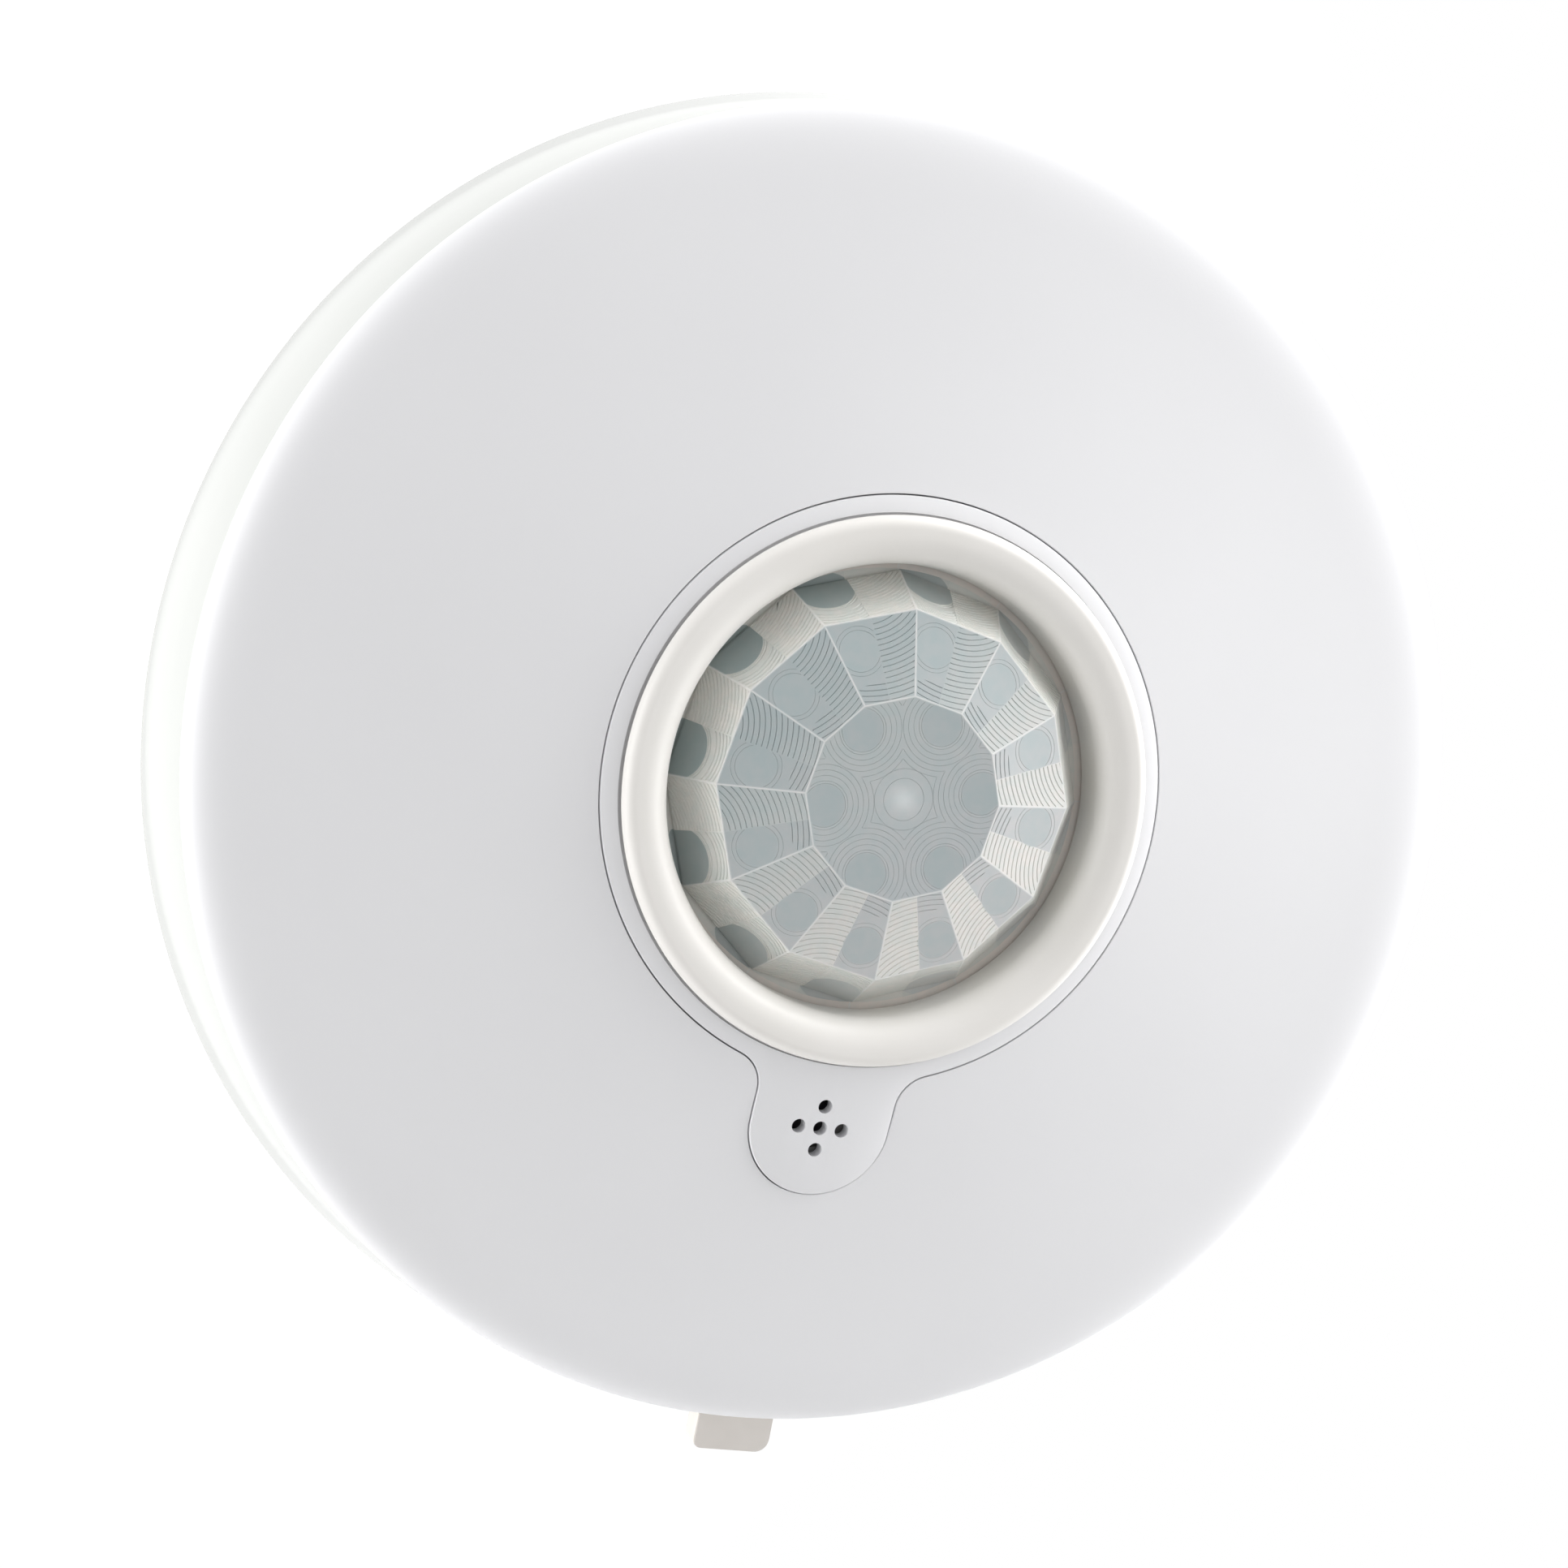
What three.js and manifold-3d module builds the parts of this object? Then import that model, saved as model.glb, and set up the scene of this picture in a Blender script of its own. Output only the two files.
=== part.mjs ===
// A round 360-degree motion detector, modelled as it hangs on a wall.
// Every piece is built in the wall frame: x to the right, y up, z out of the wall, z = 0 on the back face.
// At the end the whole assembly is tipped so that up is +Z and the lens looks to -Y. Millimetres.

import * as THREE from 'three';
import { mergeVertices } from 'three/addons/utils/BufferGeometryUtils.js';
import Module from 'manifold-3d';

const wasm = await Module();
wasm.setup();

// ---------------------------------------------------------------- driving dimensions

const gap = 0.3;                  // clearance between pieces that touch on the real object
const roundSides = 60;            // sides of the large turned pieces
const smallSides = 16;            // sides of small round pieces

const seamRadius = 60;            // outside radius where the cover meets the base
const backRadius = 62.5;          // the base flares towards the wall
const seamHeight = 12.8;          // from the back face to the seam
const baseTop = seamHeight - gap / 2;
const backRounding = 1.2;
const floorThickness = 2.2;
const spigotRadius = 57.4;        // ring on the base that centres the cover
const spigotInner = 55.9;
const spigotTop = 14.8;
const wallShoulder = [57.8, 10.5];  // radius and height where the base wall starts to thicken to the spigot
const wallFootRadius = 59.4;

const coverWallTop = 15.2;        // where the straight rim of the cover ends
const coverInnerRadius = spigotRadius + gap;
const faceTop = 22.85;            // the face is level under the bezel, then a shallow cone
const coneStart = 24.6;
const coneEnd = 50;               // from here the face rounds over towards the rim
const coneSlope = Math.tan(THREE.MathUtils.degToRad(8));
const coverUnderside = 19.4;      // flat underside round the lens
const coverHole = 21.9;           // radius of the opening for the lens

const hookOffset = 14;            // the cover's two top hooks stand this far either side of the middle line
const hookHalfWidth = 3;
const hookFootBottom = 8.6;
const hookFootTop = 9.8;
const hookLegRadius = 56.9;
const hookFootRadius = 57.9;
const hookLedge = 11.3;           // underside of the ledge that the hooks reach below
const hookClearance = 0.6;        // round each hook in its pocket
const pocketRadius = 58.9;

const trimRadius = 26.1;
const trimThickness = 1.2;
const tabCentre = -30.3;          // y of the centre of the plate's rounded tab
const tabRadius = 6.55;
const tabFillet = 3.4;
const plateReach = 45;            // beyond the far end of the plate and its recess
const soundHoleRadius = 0.65;
const soundHolePitch = 2.05;
const microphoneY = -30.55;
const soundPortRadius = 5.2;

const bezelRadius = 24.4;
const bezelInner = 20.15;
const bezelBottom = faceTop + gap;
const bezelCrest = 24.4;
const bezelOuterRounding = 1.15;
const bezelInnerRounding = 2.6;
const bezelSkirt = 21.6;          // sleeve that reaches down through the cover
const bezelSkirtBottom = 19.0;

const lensSides = 12;
const lensTurn = -24.7;           // degrees, from a corner at the top
const lensTop = { radius: 9.0, height: 26.2 };
const lensShoulder = { radius: 16.4, height: 24.2 };
const lensFoot = { radius: 19.5, height: 19.2 };
const lensWall = 0.7;
const flangeRadius = 23.6;
const flangeTop = 18.6;
const flangeBottom = 17.6;

const retainerTurn = 105;         // degrees, from +x to the first screw of the lens retainer
const retainerScrewRadius = 27.4;
const retainerInner = 19.4;
const retainerThickness = 1.3;
const retainerPilotRadius = 1.1;

const boardRadius = 50;
const boardBottom = 6.0;
const boardTop = 7.6;
const boardTopEdge = 38;          // flats that leave room for the cable and the latch
const boardBottomEdge = -40;
const partSeat = boardTop + gap;  // where parts on the board stand
const boardScrewSpots = [[-46.5, 0], [46.5, 0], [-17, -34]];
const boardBossRadius = 3;
const boardPilot = { radius: 1.5, bottom: 3.2 };

const mountingSpots = [[24, 44], [-24, 44], [-24, -45], [24, -45]];
const screwHeadRadius = 3.8;      // round entry of a keyhole for a wall screw
const screwNeckRadius = 1.9;
const screwSlotLength = 5;

const tabX = 1.9;                 // the release tab sits a little to the right of the sound holes
const tabWidth = 7.5;
const tabEnd = -65.1;
const tabFront = 10.8;
const tabBack = 7.9;
const tabShoulder = 5.75;         // half width of the part that slides inside the cradle
const cradleHalfWidth = 7.4;
const cradleEnds = [-56, -43.9];
const cradleBottom = 5;           // below the tab, inside the floor of the cradle
const cradleTop = 10.4;
const springSeatTop = 11.4;
const latchHalfWidth = 3;         // of the nose on the tab and of the catch on the cover
const latchSpringFixed = -45.8;

const cableSpot = [0, 47];
const cableHoleRadius = 6;
const tamperSpot = [26, 28];

// ---------------------------------------------------------------- helpers: solids

function toSolid(geometry) {
  const clean = geometry.clone();
  clean.deleteAttribute('normal');
  clean.deleteAttribute('uv');
  const merged = mergeVertices(clean, 1e-4);
  return new wasm.Manifold(new wasm.Mesh({
    numProp: 3,
    vertProperties: new Float32Array(merged.attributes.position.array),
    triVerts: new Uint32Array(merged.index.array),
  }));
}

function toGeometry(solid) {
  const mesh = solid.getMesh();
  const geometry = new THREE.BufferGeometry();
  geometry.setAttribute('position', new THREE.BufferAttribute(mesh.vertProperties, 3));
  geometry.setIndex(new THREE.BufferAttribute(mesh.triVerts, 1));
  geometry.computeVertexNormals();
  return geometry;
}

function joined(...solids) {
  return solids.reduce((sum, solid) => sum.add(solid));
}

// A turned piece: the outline is a list of [radius, height] points, closed on itself or on the axis.
function turned(outline, sides = roundSides) {
  const points = outline.map(([radius, height]) => new THREE.Vector2(radius, height));
  if (outline[0][0] > 0) points.push(points[0].clone());
  const geometry = new THREE.LatheGeometry(points, sides);
  geometry.rotateX(Math.PI / 2);
  return toSolid(geometry);
}

function disc(radius, bottom, top, [x, y] = [0, 0], sides = smallSides) {
  const geometry = new THREE.CylinderGeometry(radius, radius, top - bottom, sides);
  geometry.rotateX(Math.PI / 2);
  geometry.translate(x, y, (top + bottom) / 2);
  return toSolid(geometry);
}

function block([x0, x1], [y0, y1], [z0, z1]) {
  const geometry = new THREE.BoxGeometry(x1 - x0, y1 - y0, z1 - z0);
  geometry.translate((x0 + x1) / 2, (y0 + y1) / 2, (z0 + z1) / 2);
  return toSolid(geometry);
}

function plate(shape, bottom, top, curveSegments = 12) {
  const depth = top - bottom;
  const geometry = new THREE.ExtrudeGeometry(shape, { depth, bevelEnabled: false, curveSegments });
  geometry.translate(0, 0, bottom);
  return toSolid(geometry);
}

// Points of a curve, as [x, y] pairs, without its first point.
function along(curve, count) {
  return curve.getPoints(count).slice(1).map((point) => [point.x, point.y]);
}

function arc(centreX, centreY, radius, fromDegrees, toDegrees, count) {
  const start = THREE.MathUtils.degToRad(fromDegrees);
  const end = THREE.MathUtils.degToRad(toDegrees);
  const curve = new THREE.EllipseCurve(centreX, centreY, radius, radius, start, end, end < start);
  return along(curve, count);
}

function around(count, startDegrees, radius) {
  return Array.from({ length: count }, (_, index) => {
    const angle = THREE.MathUtils.degToRad(startDegrees + index * 360 / count);
    return [radius * Math.cos(angle), radius * Math.sin(angle)];
  });
}

const retainerSpots = around(3, retainerTurn, retainerScrewRadius);

// ---------------------------------------------------------------- helpers: assembly

const assembly = new THREE.Group();
assembly.rotation.x = Math.PI / 2;

const finishes = {
  glossWhite: { color: 0xf3f4ee, roughness: 0.28, metalness: 0 },
  matteWhite: { color: 0xe6e6e8, roughness: 0.62, metalness: 0 },
  satinIvory: { color: 0xeae6df, roughness: 0.38, metalness: 0 },
  milkyLens: { color: 0xbcc4c6, roughness: 0.35, metalness: 0 },
  innerWhite: { color: 0xdedcd6, roughness: 0.6, metalness: 0 },
  tabIvory: { color: 0xe2ddd6, roughness: 0.6, metalness: 0 },
  greenBoard: { color: 0x1f6b3a, roughness: 0.45, metalness: 0 },
  blackPlastic: { color: 0x1b1b1d, roughness: 0.5, metalness: 0 },
  greyRubber: { color: 0x8c8c8c, roughness: 0.8, metalness: 0 },
  greenPlastic: { color: 0x2f8f4e, roughness: 0.5, metalness: 0 },
  bluePlastic: { color: 0x2c5aa8, roughness: 0.5, metalness: 0 },
  redClear: { color: 0xc03a34, roughness: 0.2, metalness: 0 },
  steel: { color: 0xb9bcc0, roughness: 0.35, metalness: 1 },
  darkGlass: { color: 0x2a2c33, roughness: 0.1, metalness: 0 },
};

function place(name, solid, finish) {
  const mesh = new THREE.Mesh(toGeometry(solid), new THREE.MeshStandardMaterial(finishes[finish]));
  mesh.name = name;
  assembly.add(mesh);
}

// ---------------------------------------------------------------- casing

// Height of the face, and of anything a given depth below it, at a radius up to the end of the cone.
function coneHeight(radius, depth = 0) {
  return faceTop - depth - coneSlope * Math.max(radius - coneStart, 0);
}

// The rounded edge of the cover, from its straight rim to the end of the cone.
const coverEdge = new THREE.CubicBezierCurve(
  new THREE.Vector2(seamRadius, coverWallTop),
  new THREE.Vector2(seamRadius, coverWallTop + 3),
  new THREE.Vector2(coneEnd + 5.2, coneHeight(coneEnd + 5.2)),
  new THREE.Vector2(coneEnd, coneHeight(coneEnd)),
);

function baseHousing() {
  const edge = backRadius - backRounding;
  const wall = turned([
    [0, 0], [edge, 0], ...arc(edge, backRounding, backRounding, -90, 0, 3),
    [seamRadius, baseTop], [spigotRadius, baseTop], [spigotRadius, spigotTop], [spigotInner, spigotTop],
    [spigotInner, wallShoulder[1] + 1], wallShoulder, [wallFootRadius, floorThickness], [0, floorThickness],
  ]);
  const root = floorThickness - 1;
  const bosses = boardScrewSpots.map((spot) => disc(boardBossRadius, root, boardBottom - gap, spot));
  const cradleX = [tabX - cradleHalfWidth, tabX + cradleHalfWidth];
  const cradleFloor = block(cradleX, [cradleEnds[0] - 1, cradleEnds[1]], [root, tabBack - gap]);
  const cradleSides = [-1, 1].map((side) => {
    const faces = [tabX + side * (tabShoulder + gap), tabX + side * cradleHalfWidth];
    return block([Math.min(...faces), Math.max(...faces)], cradleEnds, [cradleBottom, cradleTop]);
  });
  const springSeat = block(cradleX, [latchSpringFixed + gap, cradleEnds[1]], [cradleBottom, springSeatTop]);
  let body = joined(wall, ...bosses, cradleFloor, ...cradleSides, springSeat);

  for (const spot of boardScrewSpots) {
    body = body.subtract(disc(boardPilot.radius, boardPilot.bottom, boardBottom + 1, spot, 12));
  }
  for (const spot of mountingSpots) body = body.subtract(mountingSlot(spot));
  body = body.subtract(disc(cableHoleRadius, -1, floorThickness + 1, cableSpot, 24));
  const windowHalf = tabWidth / 2 + gap;
  const windowX = [tabX - windowHalf, tabX + windowHalf];
  body = body.subtract(block(windowX, [-backRadius - 1, cradleEnds[0] + 1], [tabBack - gap, tabFront + gap]));
  for (const side of [-1, 1]) body = body.subtract(hookPocket(side * hookOffset));
  return body;
}

// Notch in the top of the base wall for one of the cover's hooks, with a pocket below the ledge for its foot.
function hookPocket(x) {
  const half = hookHalfWidth + hookClearance;
  const width = [x - half, x + half];
  const notch = block(width, [50, spigotRadius], [hookLedge - gap, spigotTop + 1]);
  const pocket = block(width, [50, seamRadius], [hookFootBottom - hookClearance, hookLedge]);
  return joined(
    notch.intersect(disc(spigotRadius, 0, 20, [0, 0], roundSides)),
    pocket.intersect(disc(pocketRadius, 0, 20, [0, 0], roundSides)),
  );
}

// Keyhole for a wall screw: a round entry with a narrower slot running towards the middle line.
function mountingSlot([x, y]) {
  const slotX = x - Math.sign(x) * screwSlotLength;
  const through = [-1, floorThickness + 1];
  const neckY = [y - screwNeckRadius, y + screwNeckRadius];
  const neck = block([Math.min(x, slotX), Math.max(x, slotX)], neckY, through);
  return joined(disc(screwHeadRadius, ...through, [x, y]), neck, disc(screwNeckRadius, ...through, [slotX, y]));
}

// Outline of the keyhole plate, grown by a margin: a circle with a rounded tab hanging from it.
function keyhole(margin) {
  const big = trimRadius + margin;
  const small = tabRadius + margin;
  const fillet = tabFillet - margin;
  // the fillet circle touches the big circle and the tab's upright side
  const filletX = small + fillet;
  const filletY = -Math.sqrt((big + fillet) ** 2 - filletX ** 2);
  const touch = THREE.MathUtils.radToDeg(Math.atan2(filletY, filletX));
  const outline = [
    ...arc(0, 0, big, touch, 180 - touch, 42),
    ...arc(-filletX, filletY, fillet, -touch, 0, 4),
    [-small, tabCentre],
    ...arc(0, tabCentre, small, 180, 360, 14),
    [small, filletY],
    ...arc(filletX, filletY, fillet, 180, 180 + touch, 4),
  ];
  return new THREE.Shape(outline.map(([x, y]) => new THREE.Vector2(x, y)));
}

function frontCover() {
  const rimBottom = seamHeight + gap / 2;
  const shell = turned([
    [seamRadius, rimBottom], [seamRadius, coverWallTop],
    ...along(coverEdge, 7),
    [coneStart, faceTop], [coverHole, faceTop], [coverHole, coverUnderside], [33, coverUnderside], [47, 18.0],
    [55.2, 16.6], [coverInnerRadius, 15.2], [coverInnerRadius, rimBottom],
  ]);
  const recessDepth = trimThickness + gap;
  const recess = plate(keyhole(gap), coverUnderside, faceTop + 2).intersect(turned([
    [0, faceTop - recessDepth], [coneStart, faceTop - recessDepth],
    [plateReach, coneHeight(plateReach, recessDepth)], [plateReach, faceTop + 2], [0, faceTop + 2],
  ]));
  const soundPort = disc(soundPortRadius, coverWallTop, faceTop + 1, [0, microphoneY], 24);
  let body = shell.subtract(recess).subtract(soundPort);

  const bosses = retainerSpots.map((spot) => disc(2.4, 17.7, coverUnderside + 0.5, spot));
  const tamperPost = disc(1.6, 15.3, 19.3, tamperSpot);
  const hooks = [-1, 1].map((side) => coverHook(side * hookOffset));
  const catchX = [tabX - latchHalfWidth, tabX + latchHalfWidth];
  const catchLeg = joined(
    block(catchX, [-54.9, -53.8], [11.4, 17.2]),
    block(catchX, [-54.9, -52.9], [11.4, 12.3]),
  );
  body = joined(body, ...bosses, tamperPost, ...hooks, catchLeg);
  for (const spot of retainerSpots) body = body.subtract(disc(retainerPilotRadius, 17, 20.4, spot, 12));
  return body;
}

// A hook hanging from the inside of the cover: a root under the face, a leg, and a foot turned outwards.
function coverHook(x) {
  const width = [x - hookHalfWidth, x + hookHalfWidth];
  const root = block(width, [52, 55.6], [15.9, 17.2]);
  const leg = block(width, [54, 58], [hookFootBottom, 16.4]);
  const foot = block(width, [54, 58], [hookFootBottom, hookFootTop]);
  return joined(
    root,
    leg.intersect(disc(hookLegRadius, 0, 20, [0, 0], roundSides)),
    foot.intersect(disc(hookFootRadius, 0, 20, [0, 0], roundSides)),
  );
}

function trimPlate() {
  let body = plate(keyhole(0), coverUnderside, faceTop + 2).intersect(turned([
    [coverHole, faceTop - trimThickness], [coneStart, faceTop - trimThickness],
    [plateReach, coneHeight(plateReach, trimThickness)], [plateReach, coneHeight(plateReach)],
    [coneStart, faceTop], [coverHole, faceTop],
  ]));
  const spots = [[0, 0], [1, 0], [-1, 0], [0, 1], [0, -1]];
  for (const [right, up] of spots) {
    const spot = [right * soundHolePitch, microphoneY + up * soundHolePitch];
    body = body.subtract(disc(soundHoleRadius, 20, 24, spot, 12));
  }
  return body;
}

function bezelRing() {
  const outerCentre = bezelRadius - bezelOuterRounding;
  const innerCentre = bezelInner + bezelInnerRounding;
  return turned([
    [bezelInner, bezelSkirtBottom], [bezelSkirt, bezelSkirtBottom], [bezelSkirt, bezelBottom],
    [bezelRadius, bezelBottom],
    ...arc(outerCentre, bezelCrest - bezelOuterRounding, bezelOuterRounding, 0, 90, 3),
    ...arc(innerCentre, bezelCrest - bezelInnerRounding, bezelInnerRounding, 90, 180, 4),
  ], 48);
}

place('base_housing', baseHousing(), 'glossWhite');
place('front_cover', frontCover(), 'matteWhite');
place('trim_plate', trimPlate(), 'matteWhite');
place('bezel_ring', bezelRing(), 'satinIvory');

// ---------------------------------------------------------------- lens and its fixing

function fresnelLens() {
  const dome = turned([
    [0, lensTop.height - lensWall], [lensTop.radius - 0.1, lensTop.height - lensWall],
    [lensShoulder.radius - 0.45, lensShoulder.height - lensWall],
    [lensFoot.radius - 0.85, lensFoot.height - 0.2], [lensFoot.radius - 0.85, flangeBottom],
    [lensFoot.radius, flangeBottom], [lensFoot.radius, lensFoot.height],
    [lensShoulder.radius, lensShoulder.height], [lensTop.radius, lensTop.height], [0, lensTop.height],
  ], lensSides);
  const flange = turned([
    [lensFoot.radius - 0.6, flangeBottom], [flangeRadius, flangeBottom],
    [flangeRadius, flangeTop], [lensFoot.radius - 0.6, flangeTop],
  ], 48);
  return joined(dome, flange).rotate([0, 0, lensTurn]);
}

function lensRetainer() {
  const top = flangeBottom - gap;
  const bottom = top - retainerThickness;
  const ring = disc(24.8, bottom, top, [0, 0], 36);
  const lugs = retainerSpots.map((spot) => disc(2.8, bottom, top, spot));
  const arms = around(3, retainerTurn, 25).map((spot) => disc(2.6, bottom, top, spot));
  let body = joined(ring, ...lugs, ...arms);
  for (const spot of retainerSpots) body = body.subtract(disc(1.2, 15, 19, spot, 12));
  return body.subtract(disc(retainerInner, 15, 19, [0, 0], 36));
}

// A small pan-head screw whose tip points along +z or -z.
function screw(spot, shankRadius, headRadius, headBottom, headTop, tip) {
  const shankStart = tip > headTop ? headTop - 0.1 : headBottom + 0.1;
  const shank = disc(shankRadius, Math.min(shankStart, tip), Math.max(shankStart, tip), spot, 10);
  const head = disc(headRadius, headBottom, headTop, spot, 16);
  const [x, y] = spot;
  const slotDepth = 0.5;
  const slotZ = tip > headTop ? [headBottom - 1, headBottom + slotDepth] : [headTop - slotDepth, headTop + 1];
  const slot = block([x - headRadius - 1, x + headRadius + 1], [y - 0.25, y + 0.25], slotZ);
  return joined(head, shank).subtract(slot);
}

place('fresnel_lens', fresnelLens(), 'milkyLens');
place('lens_retainer', lensRetainer(), 'innerWhite');
retainerSpots.forEach((spot, index) => {
  place(`retainer_screw_${index + 1}`, screw(spot, 0.8, 1.9, 14.4, 15.7, 19.9), 'steel');
});

// ---------------------------------------------------------------- release latch

// A coil spring along +y (or +z) made of round wire.
class HelixCurve extends THREE.Curve {
  constructor(radius, length, turns) {
    super();
    Object.assign(this, { radius, length, turns });
  }

  getPoint(t, target = new THREE.Vector3()) {
    const angle = 2 * Math.PI * this.turns * t;
    return target.set(this.radius * Math.cos(angle), this.radius * Math.sin(angle), this.length * t);
  }
}

function coilSpring(radius, length, turns, wire) {
  const section = new THREE.Shape();
  section.absarc(0, 0, wire / 2, 0, 2 * Math.PI, false);
  return new THREE.ExtrudeGeometry(section, {
    extrudePath: new HelixCurve(radius, length, turns), steps: turns * 9, curveSegments: 3, bevelEnabled: false,
  });
}

function releaseTab() {
  const half = tabWidth / 2;
  const corner = 1.1;
  const finger = new THREE.Shape();
  finger.moveTo(tabX + half, -55);
  finger.lineTo(tabX - half, -55);
  finger.absarc(tabX - half + corner, tabEnd + corner, corner, Math.PI, 1.5 * Math.PI, false);
  finger.absarc(tabX + half - corner, tabEnd + corner, corner, 1.5 * Math.PI, 2 * Math.PI, false);
  const shoulder = block([tabX - tabShoulder, tabX + tabShoulder], [-56.2, -51], [tabBack, tabFront]);
  const noseX = [tabX - latchHalfWidth, tabX + latchHalfWidth];
  const nose = joined(
    block(noseX, [-52.3, -51], [tabFront - 0.5, 13.5]),
    block(noseX, [-52.6, -51], [12.6, 13.5]),
  );
  const pin = new THREE.CylinderGeometry(0.7, 0.7, 2.2, 10);
  pin.translate(tabX, -50.1, (tabBack + tabFront) / 2);
  return joined(plate(finger, tabBack, tabFront, 3), shoulder, nose, toSolid(pin));
}

// The spring sits on the tab's pin and pushes it outwards from the seat at the inner end of the cradle.
function latchSpring() {
  const start = -50.7;
  const wire = 0.45;
  const spring = coilSpring(1.5, latchSpringFixed - start - wire, 5, wire);
  spring.rotateX(-Math.PI / 2);
  spring.translate(tabX, start + wire / 2, (tabBack + tabFront) / 2);
  return toSolid(spring);
}

place('release_tab', releaseTab(), 'tabIvory');
place('latch_spring', latchSpring(), 'steel');

// ---------------------------------------------------------------- circuit board and what stands on it

function circuitBoard() {
  const outline = disc(boardRadius, boardBottom, boardTop, [0, 0], 48);
  let body = outline.intersect(block([-60, 60], [boardBottomEdge, boardTopEdge], [0, 20]));
  for (const spot of boardScrewSpots) body = body.subtract(disc(1.6, 0, 20, spot, 12));
  return body;
}

place('circuit_board', circuitBoard(), 'greenBoard');
boardScrewSpots.forEach((spot, index) => {
  place(`board_screw_${index + 1}`, screw(spot, 1.1, 2.8, partSeat, partSeat + 1.6, 3.6), 'steel');
});

function sensorHolder() {
  return turned([[3.0, partSeat], [6.4, partSeat], [6.4, 10.6], [5.1, 10.6], [5.1, 9.4], [3.0, 9.4]], 24);
}

function pyroSensor() {
  const can = disc(4.1, 9.9, 13.6, [0, 0], 24);
  const brim = disc(4.7, 9.7, 10.3, [0, 0], 24);
  const window = block([-1.9, 1.9], [-1.4, 1.4], [13.0, 15]);
  const pins = around(3, 90, 1.6).map((spot) => disc(0.25, partSeat, 10, spot, 6));
  return joined(can, brim, ...pins).subtract(window);
}

place('sensor_holder', sensorHolder(), 'innerWhite');
place('pyro_sensor', pyroSensor(), 'steel');
place('sensor_window', block([-1.6, 1.6], [-1.1, 1.1], [13.3, 13.7]), 'darkGlass');

function microphoneBoot() {
  const [bottom, top] = [partSeat, 19.9];
  const sleeve = disc(4.4, bottom, top, [0, microphoneY], 24);
  return sleeve.subtract(disc(2.4, 16.5, top + 1, [0, microphoneY], 20));
}

place('microphone_boot', microphoneBoot(), 'greyRubber');
place('microphone_capsule', disc(2.1, 16.8, 19.7, [0, microphoneY], 20), 'blackPlastic');

function ledLamp() {
  const [x, y] = [0, 13];
  const radius = 1.5;
  const domeStart = 13.2;
  const dome = arc(0, domeStart, radius, 0, 90, 4);
  const outline = [[0, 9.8], [1.9, 9.8], [1.9, 10.6], [radius, 10.6], [radius, domeStart], ...dome];
  const lamp = turned(outline, smallSides);
  const legs = [-0.6, 0.6].map((side) => disc(0.25, partSeat, 9.9, [side, 0], 6));
  return joined(lamp, ...legs).translate([x, y, 0]);
}

place('walk_test_led', ledLamp(), 'redClear');
place('microcontroller', block([-22, -12], [-20, -10], [partSeat, 9.5]), 'blackPlastic');
place('amplifier_chip', block([13, 18], [10, 19], [partSeat, 9.5]), 'blackPlastic');

function clockCrystal() {
  const shape = new THREE.Shape();
  shape.absarc(3.2, 0, 2.2, -Math.PI / 2, Math.PI / 2, false);
  shape.absarc(-3.2, 0, 2.2, Math.PI / 2, 1.5 * Math.PI, false);
  return plate(shape, partSeat, 11.4, 6).translate([-22, -26, 0]);
}

place('clock_crystal', clockCrystal(), 'steel');
[[-24, 8, 3.1], [-24, 0, 2.5]].forEach(([x, y, radius], index) => {
  place(`capacitor_${index + 1}`, disc(radius, partSeat, 15, [x, y], 20), 'blackPlastic');
});
place('alarm_relay', block([32, 42.5], [-10, 10], [partSeat, 17.2]), 'bluePlastic');

// ---------------------------------------------------------------- terminal block

const terminalWays = 6;
const terminalPitch = 5;
const terminalTop = 17;
const terminalScrewY = 32.5;
const terminalStart = -terminalPitch * (terminalWays - 1) / 2;
const terminalScrewX = Array.from({ length: terminalWays }, (_, way) => terminalStart + way * terminalPitch);

function terminalBlock() {
  let body = block([-15.3, 15.3], [29.7, 37.7], [partSeat, terminalTop]);
  for (const x of terminalScrewX) {
    body = body.subtract(disc(2.1, 12.6, 18, [x, terminalScrewY], 14));
    body = body.subtract(block([x - 1.6, x + 1.6], [33, 39], [8.8, 11.8]));
  }
  return body;
}

place('terminal_block', terminalBlock(), 'greenPlastic');
terminalScrewX.forEach((x, index) => {
  place(`terminal_screw_${index + 1}`, screw([x, terminalScrewY], 1.1, 1.8, 14.6, 16.4, 12.9), 'steel');
});

// ---------------------------------------------------------------- settings: jumpers and trimmer

const jumperSpots = [[14, -26], [19, -26]];

function jumperHeader() {
  const pins = jumperSpots.flatMap(([x, y]) => [-1.27, 1.27].map(
    (step) => block([x - 0.32, x + 0.32], [y + step - 0.32, y + step + 0.32], [partSeat, 13.2]),
  ));
  return joined(block([11.5, 21.5], [-28.6, -23.4], [partSeat, 9.9]), ...pins);
}

function jumperCap([x, y]) {
  let cap = block([x - 1.25, x + 1.25], [y - 2.5, y + 2.5], [10.2, 14.2]);
  for (const step of [-1.27, 1.27]) {
    cap = cap.subtract(block([x - 0.62, x + 0.62], [y + step - 0.62, y + step + 0.62], [9, 13.5]));
  }
  return cap;
}

place('jumper_header', jumperHeader(), 'blackPlastic');
jumperSpots.forEach((spot, index) => place(`jumper_cap_${index + 1}`, jumperCap(spot), 'redClear'));

const trimmerSpot = [-27, -8];

function rangeTrimmer() {
  const [x, y] = trimmerSpot;
  const body = block([x - 3.4, x + 3.4], [y - 3.4, y + 3.4], [partSeat, 11.6]);
  return body.subtract(disc(2.6, 9.6, 13, trimmerSpot, 24));
}

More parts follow.
